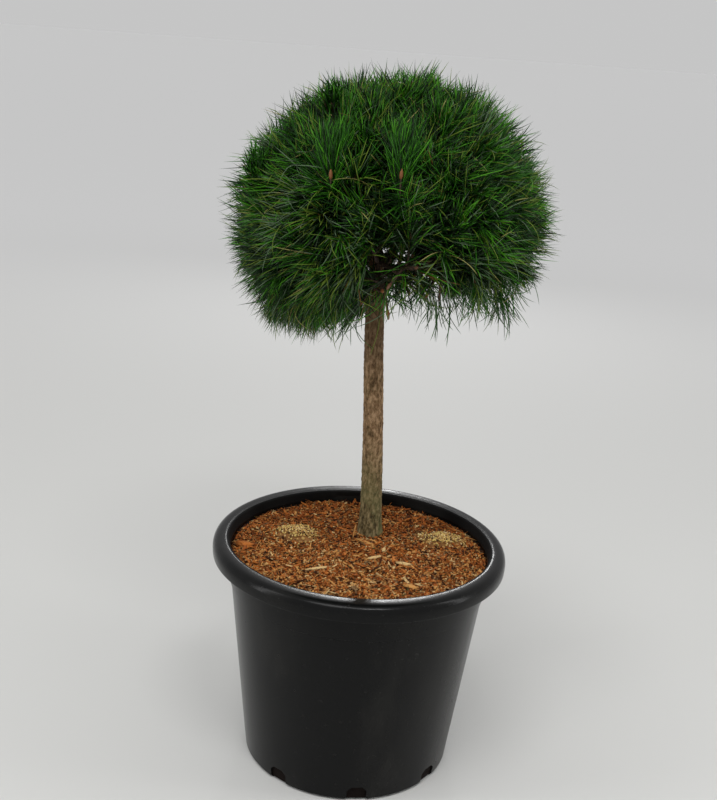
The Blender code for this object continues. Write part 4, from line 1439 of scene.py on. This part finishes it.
def grow_needles(mass):
    """All the needles of one mass, as one piece."""
    sprays = [spray(shoot) for shoot in mass["shoots"]]
    heights = [shoot["path"][-1].z for shoot in mass["shoots"]]
    finish_of = np.concatenate([paint(part[3], height) for part, height in zip(sprays, heights)])
    inset = np.concatenate([np.full(len(part[0]), chance.uniform(0, SPRAY_INSET)) for part in sprays])
    roots, heading, line, _ = (np.concatenate(parts) for parts in zip(*sprays))
    count = len(roots)
    curl = line * INWARD_CURL * chance.uniform(*CURL_RANGE, count)[:, None]
    low = np.clip((CROWN_MIDDLE.z + SKIRT_TOP - roots[:, 2]) / SKIRT_BAND, 0, 1)
    curl[:, 2] -= (SAG + SKIRT_SAG * low) * chance.uniform(*SAG_RANGE, count)
    loose = chance.uniform(0, 1, count) < LOOSE_SHARE
    curl += chance.normal(0, 1, (count, 3)) * np.where(loose, LOOSE_WANDER, WANDER)[:, None]
    finish_of[loose & (chance.uniform(0, 1, count) < LOOSE_OLIVE)] = OLIVE_NEEDLE
    long = chance.uniform(0, 1, count) < LONG_SHARE
    length = chance.uniform(*NEEDLE_LENGTH, count) * np.where(long, LONG_FACTOR, 1.0)
    inset = np.where(long, -LONG_PAST, inset) - SKIRT_PAST * low * chance.uniform(0, 1, count)
    length = within_outline(roots, heading, curl, length, inset)
    tips = roots + length[:, None] * (heading + 0.5 * curl)
    kept = clear_of_trunk(roots, tips) & (length > SHORTEST_KEPT)
    airy = in_airy_gap(tips) | in_airy_gap(roots * 0.3 + tips * 0.7)
    airy |= in_airy_gap(roots * 0.65 + tips * 0.35)
    kept &= ~airy | (chance.uniform(0, 1, count) < np.where(roots[:, 1] < TRUNK_HEAD.y, *AIRY["kept"]))
    points = blades(roots[kept], heading[kept], curl[kept], line[kept], length[kept], NEEDLE_BENDS)
    return needle_piece(mass["name"].replace("foliage", "needles"), points, finish_of[kept], [mass["name"]])


print("needles:", sum(grow_needles(mass) for mass in crown_plan), "triangles in", len(crown_plan), "pieces")

# %% [markdown]
# ### Strays and tufts
# Here and there an old needle has come loose from its spray and curls across the others, pale and
# olive. More of them hang as loose strands from the crown's lower edge. Each is an arc of several short
# rings. Four upright tufts of young needles stand on forked shoots of their own on the near side.

# %% Strays
STRAY_COUNT = 640
STRAY_LENGTH = (0.048, 0.076)
STRAY_TURN_DEG = (35, 150)
STRAY_RINGS = 7
STRAY_WIDTH = 0.00125
STRAY_SAG = 0.9
STRAY_TAPER = 0.5
STRAY_RIDGE = 1.2
STRAY_PAST = 0.010
STRAY_SCATTER = 0.5
STRAY_ROOT_SCATTER = 0.003
STRAY_COLOURS = [OLIVE_NEEDLE, GREY_NEEDLE, FRESH_NEEDLE, STRAW_NEEDLE]
STRAY_SHARES = [0.44, 0.24, 0.22, 0.10]
BOX_PAST = 0.008
HANGING_FALL = 0.9
HANGING_SCATTER = 0.28
HANGING_ROOT_SCATTER = 0.006
HANGING_LENGTH = 0.8
HANGING_TURN = 0.50
HANGING_COLOURS = [DEEP_NEEDLE, GREEN_NEEDLE, OLIVE_NEEDLE, GREY_NEEDLE]
HANGING_SHARES = [0.28, 0.32, 0.14, 0.26]
HANGING = [
    {"count": 36, "low": (0.004, -0.13, 0.655), "high": (0.070, 0.02, 0.70), "outward": 0.1},
    {"count": 210, "low": (0.095, -0.16, 0.610), "high": (0.200, 0.05, 0.67), "outward": 0.5},
    {"count": 170, "low": (-0.190, -0.16, 0.600), "high": (-0.020, 0.03, 0.66), "outward": 0.5},
    {"count": 160, "low": (-0.150, 0.06, 0.600), "high": (0.170, 0.20, 0.66), "outward": 0.5},
]


def arcs(roots, heading, length, turn):
    """Points of needles that bend evenly: a ring of three at each step, and a tip."""
    bend = chance.normal(0, 1, roots.shape) - np.array([0, 0, STRAY_SAG])
    bend = unit(bend - heading * (bend * heading).sum(1, keepdims=True))
    side = np.cross(heading, bend)
    points = []
    for ring in range(STRAY_RINGS + 1):
        share = ring / STRAY_RINGS
        angle = (turn * share)[:, None]
        arc_radius = (length / turn)[:, None]
        centre = roots + arc_radius * (heading * np.sin(angle) + bend * (1 - np.cos(angle)))
        out = bend * np.cos(angle) - heading * np.sin(angle)
        wide = STRAY_WIDTH / 2 * (1 - STRAY_TAPER * share ** 3)
        points += [centre - side * wide, centre + side * wide, centre + out * wide * STRAY_RIDGE]
    return np.stack(points[:-2], 1)


def grow_strays():
    """Loose needles all over the crown and strands that hang from its lower edge, as one piece."""
    middle = np.array(CROWN_MIDDLE)
    tips = np.array([path[-1][:] for path in shoot_paths])
    along_shoots = np.array([point[:] for path in shoot_paths for point in path[2:]])
    roots = tips[chance.integers(0, len(tips), STRAY_COUNT)]
    roots = roots + chance.normal(0, STRAY_ROOT_SCATTER, roots.shape)
    planned = [chance.uniform(part["low"], part["high"], (part["count"], 3)) for part in HANGING]
    outward_share = np.repeat([part["outward"] for part in HANGING], [len(part) for part in planned])
    planned = np.concatenate(planned)
    nearest = np.linalg.norm(planned[:, None] - along_shoots[None], axis=2).argmin(1)
    away = unit(roots - middle) + chance.normal(0, STRAY_SCATTER, roots.shape)
    down = unit(planned - middle) * outward_share[:, None]
    down = down + chance.normal(0, HANGING_SCATTER, planned.shape)
    down[:, 2] -= HANGING_FALL
    hanging_roots = along_shoots[nearest] + chance.normal(0, HANGING_ROOT_SCATTER, planned.shape)
    roots = np.concatenate([roots, hanging_roots])
    heading = unit(np.concatenate([away, down]))
    hangs = np.arange(len(roots)) >= STRAY_COUNT
    length = chance.uniform(*STRAY_LENGTH, len(roots))
    turn = np.radians(chance.uniform(*STRAY_TURN_DEG, len(roots))) * np.where(hangs, HANGING_TURN, 1.0)
    length[hangs] *= HANGING_LENGTH
    points = arcs(roots, heading, length, turn)
    out = np.linalg.norm(points - middle, axis=2)
    allowed = crown_reach((points - middle) / out[..., None]) + STRAY_PAST
    kept = ((out < allowed).all(1) | hangs) & clear_of_trunk(points[:, 0], points[:, -1])
    box_low, box_high = np.array(cad_box)
    kept &= ((points > box_low - BOX_PAST) & (points < box_high + BOX_PAST)).all((1, 2))
    finish_of = chance.choice(STRAY_COLOURS, len(roots), p=STRAY_SHARES)
    finish_of[hangs] = chance.choice(HANGING_COLOURS, len(planned), p=HANGING_SHARES)
    needle_piece("stray_needles", points[kept], finish_of[kept])
    return int(kept.sum())


print("strays:", grow_strays())

# %% Tufts
TUFTS = [
    {"pixel": (331, 176), "toward": (334, 108), "needles": 560},
    {"pixel": (401, 176), "toward": (406, 112), "needles": 430},
    {"pixel": (258, 178), "toward": (254, 150), "needles": 130},
    {"pixel": (332, 108), "toward": (331, 88), "needles": 130},
]
TUFT_DEPTH = 0.034
TUFT_TOP_DEPTH = 0.004
TUFT_PAST = 0.004
TUFT_SHOOT = 0.030
TUFT_SUNK = 0.02
TUFT_BARE = 0.15
TUFT_RISE = 0.022
TUFT_FORKS = 6
TUFT_ROOTED = 0.012
TUFT_SPREAD_DEG = 20.0
TUFT_WIDTH = 0.0115
TUFT_LENGTH = (0.026, 0.054)
TUFT_CURL = 0.30
TUFT_WANDER = 0.32
TUFT_COLOURS = [OLD_SHADED_NEEDLE, DEEP_NEEDLE, GREEN_NEEDLE, FRESH_NEEDLE]
TUFT_SHARES = [0.18, 0.32, 0.34, 0.16]
TUFT_GIRTH = 0.0014
TUFT_TAPER = 0.0005
TUFT_STEPS = 8
BUD_FORWARD = 0.011
BUD_LEAN = 0.5


def near_side(pixel, depth):
    """The nearest point on a line of sight that lies a depth inside the crown's outline."""
    line = sight(pixel)
    for step in range(900, 1700, 2):
        spot = CAMERA_AT + line * (step / 1000)
        away = spot - CROWN_MIDDLE
        if away.length < float(crown_reach(np.array(away.normalized())[None])[0]) - depth:
            return spot
    return spot


def grow_tuft(tuft):
    """One upright tuft: the foot and tips of its forked shoot, and a narrow brush of needles on them."""
    seat = near_side(tuft["pixel"], TUFT_DEPTH)
    above = near_side(tuft["toward"], TUFT_TOP_DEPTH)
    upward = (above - seat).normalized()
    count = tuft["needles"]
    line = np.array(upward)
    across, beside = square_to(line)
    around = chance.uniform(0, 2 * np.pi, count)[:, None]
    spread = np.radians(np.abs(chance.normal(0, TUFT_SPREAD_DEG, count)))[:, None]
    heading = line * np.cos(spread) + (across * np.cos(around) + beside * np.sin(around)) * np.sin(spread)
    foot = np.array(seat - upward * TUFT_SHOOT)
    ring = 2 * np.pi * np.arange(TUFT_FORKS)[:, None] / TUFT_FORKS
    crest = np.array(seat + upward * TUFT_RISE)
    tips = crest + (across * np.cos(ring) + beside * np.sin(ring)) * TUFT_WIDTH
    share = chance.uniform(TUFT_BARE, 1.0, count)[:, None]
    roots = foot + (tips[chance.integers(0, TUFT_FORKS, count)] - foot) * share
    from_middle = roots - np.array(CROWN_MIDDLE)
    inside = np.linalg.norm(from_middle, axis=1) < crown_reach(unit(from_middle)) - TUFT_ROOTED
    roots, heading, count = roots[inside], heading[inside], int(inside.sum())
    curl = chance.normal(0, TUFT_WANDER, (count, 3)) + line * TUFT_CURL
    length = within_outline(roots, heading, curl, chance.uniform(*TUFT_LENGTH, count), -TUFT_PAST)
    points = blades(roots, heading, curl, np.tile(across, (count, 1)), length, NEEDLE_BENDS)
    bud = seat - line_of_view * BUD_FORWARD
    tips = [Vector(tip) for tip in tips] + [bud]
    return {"points": points, "foot": Vector(foot), "tips": tips, "bud": bud, "upward": upward}


tufts = [grow_tuft(tuft) for tuft in TUFTS]
points = np.concatenate([tuft["points"] for tuft in tufts])
needle_piece("tuft_needles", points, chance.choice(TUFT_COLOURS, len(points), p=TUFT_SHARES))
nodes_of_twigs = [point for path in shoot_paths for point in path]
girths = [TUFT_GIRTH - TUFT_TAPER * step / TUFT_STEPS for step in range(TUFT_STEPS + 1)]
bm = bmesh.new()
for tuft in tufts:
    foot = tuft["foot"]
    inward = (foot - CROWN_MIDDLE).normalized() * TUFT_SUNK
    start = min(nodes_of_twigs, key=lambda point: (point - foot + inward).length)
    for tip in tuft["tips"]:
        limb(bm, bent(start, foot, tip, TUFT_STEPS), girths, TWIG_SIDES)
piece("tuft_shoots", bm, twig_finish, "bark", sharp_deg=75)
print("tufts:", len(tufts))

# %% [markdown]
# ## Buds
# Orange-brown winter buds sit among the last needles of a shoot. Each is a pointed ball of overlapping
# scales, so one small form with a wavy side does for all of them.

# %% Buds on the shoot tips
BUD_SIZE = (0.0052, 0.0052, 0.0125)
BUD_SHARE = 0.55
BUD_OUT = 0.4
BUD_RIPPLES = 30
BUD_RIPPLE = 0.10
BUD_FOOT = 1.15
BUD_TAPER = 0.55
BUD_SHARES = [0.6, 0.4]
BUD_COLOURS = {"bud_orange": (0.240, 0.085, 0.026), "bud_brown": (0.120, 0.050, 0.022)}
bud_finishes = palette(BUD_COLOURS, 0.6)

bm = bmesh.new()
bmesh.ops.create_uvsphere(bm, u_segments=7, v_segments=7, radius=0.5)
for vert in bm.verts:
    share = vert.co.z + 0.5
    ripple = 1 + BUD_RIPPLE * math.sin(share * BUD_RIPPLES)
    vert.co.x *= ripple * (BUD_FOOT - BUD_TAPER * share)
    vert.co.y *= ripple * (BUD_FOOT - BUD_TAPER * share)
bud_form = form_of(bm)
seats = []
for path in shoot_paths:
    if chance.uniform() < BUD_SHARE:
        ahead = (path[-1] - path[-2]).normalized()
        seats.append((path[-1] + ahead * BUD_SIZE[2] * BUD_OUT, ahead))
for tuft in tufts:
    seats.append((tuft["bud"], tuft["upward"] - line_of_view * BUD_LEAN))
matrices = []
for seat, ahead in seats:
    turn = ahead.to_track_quat("Z", "Y").to_matrix().to_4x4()
    matrices.append(np.array(Matrix.Translation(seat) @ turn @ Matrix.Diagonal((*BUD_SIZE, 1))))
matrices = np.array(matrices)
chosen = chance.choice(len(BUD_COLOURS), len(matrices), p=BUD_SHARES)
heaped("winter_buds", [(bud_form, matrices, chosen)], bud_finishes, "bark", smooth=True)

# %% [markdown]
# ## Light and floor
# The plant stands on a pale floor in even, soft light. A bright world gives the shadowless part of it, a
# wide sun from above gives the crown its lit top, and two tall soft lights put the upright highlights
# on the pot. A small light far behind draws the bright line along the front of the pot's rim.

# %% Studio
WORLD_LIGHT = 0.56
FLOOR_SIZE = 400.0
NEAR_FLOOR = (0.640, 0.640, 0.624)
FAR_FLOOR = (0.748, 0.748, 0.748)
FLOOR_BLEND = (0.5, 5.0)
PANELS = {
    "ceiling_panel": ((0.35, -1.25, 2.35), (0, 0, 0.5), {"energy": 11.0, "size": 0.7, "size_y": 0.3}),
    "left_window": ((-1.5, -0.5, 0.9), (0, 0, 0.35), {"energy": 6.0, "size": 0.22, "size_y": 1.6}),
    "right_window": ((1.5, -0.35, 0.9), (0, 0, 0.35), {"energy": 5.5, "size": 0.25, "size_y": 1.6}),
    "far_window": ((0.18, 3.1, 1.43), (0.02, -0.18, 0.31), {"energy": 7.0, "size": 0.30, "size_y": 0.18}),
}

scene = bpy.context.scene
scene.view_settings.view_transform = "Standard"
world = bpy.data.worlds.new("studio")
scene.world = world
world.use_nodes = True
background = world.node_tree.nodes["Background"]
background.inputs["Color"].default_value = (WORLD_LIGHT, WORLD_LIGHT, WORLD_LIGHT, 1)

floor_finish = Finish("pale_floor", NEAR_FLOOR, 0.6, Specular_IOR_Level=0.1)
far_off = floor_finish.between(floor_finish.distance(floor_finish.place()), *FLOOR_BLEND)
floor_finish.colour(floor_finish.mix(far_off, NEAR_FLOOR, FAR_FLOOR))
bm = bmesh.new()
bmesh.ops.create_grid(bm, x_segments=1, y_segments=1, size=FLOOR_SIZE / 2)
mesh = bpy.data.meshes.new("floor")
bm.to_mesh(mesh)
bm.free()
mesh.materials.append(floor_finish.material)
floor = bpy.data.objects.new("floor", mesh)
scene.collection.objects.link(floor)


def add_light(name, kind, place, aim, settings):
    """A light that points from its place to its aim."""
    data = bpy.data.lights.new(name, kind)
    for setting, value in settings.items():
        setattr(data, setting, value)
    light = bpy.data.objects.new(name, data)
    light.location = place
    light.rotation_euler = (Vector(aim) - Vector(place)).to_track_quat("-Z", "Y").to_euler()
    scene.collection.objects.link(light)


add_light("overhead", "SUN", (-0.5, -0.9, 2.4), (0, 0, 0.4), {"energy": 0.70, "angle": math.radians(24)})
for name, (place, aim, settings) in PANELS.items():
    add_light(name, "AREA", place, aim, {"shape": "RECTANGLE", **settings})
print("studio ready")
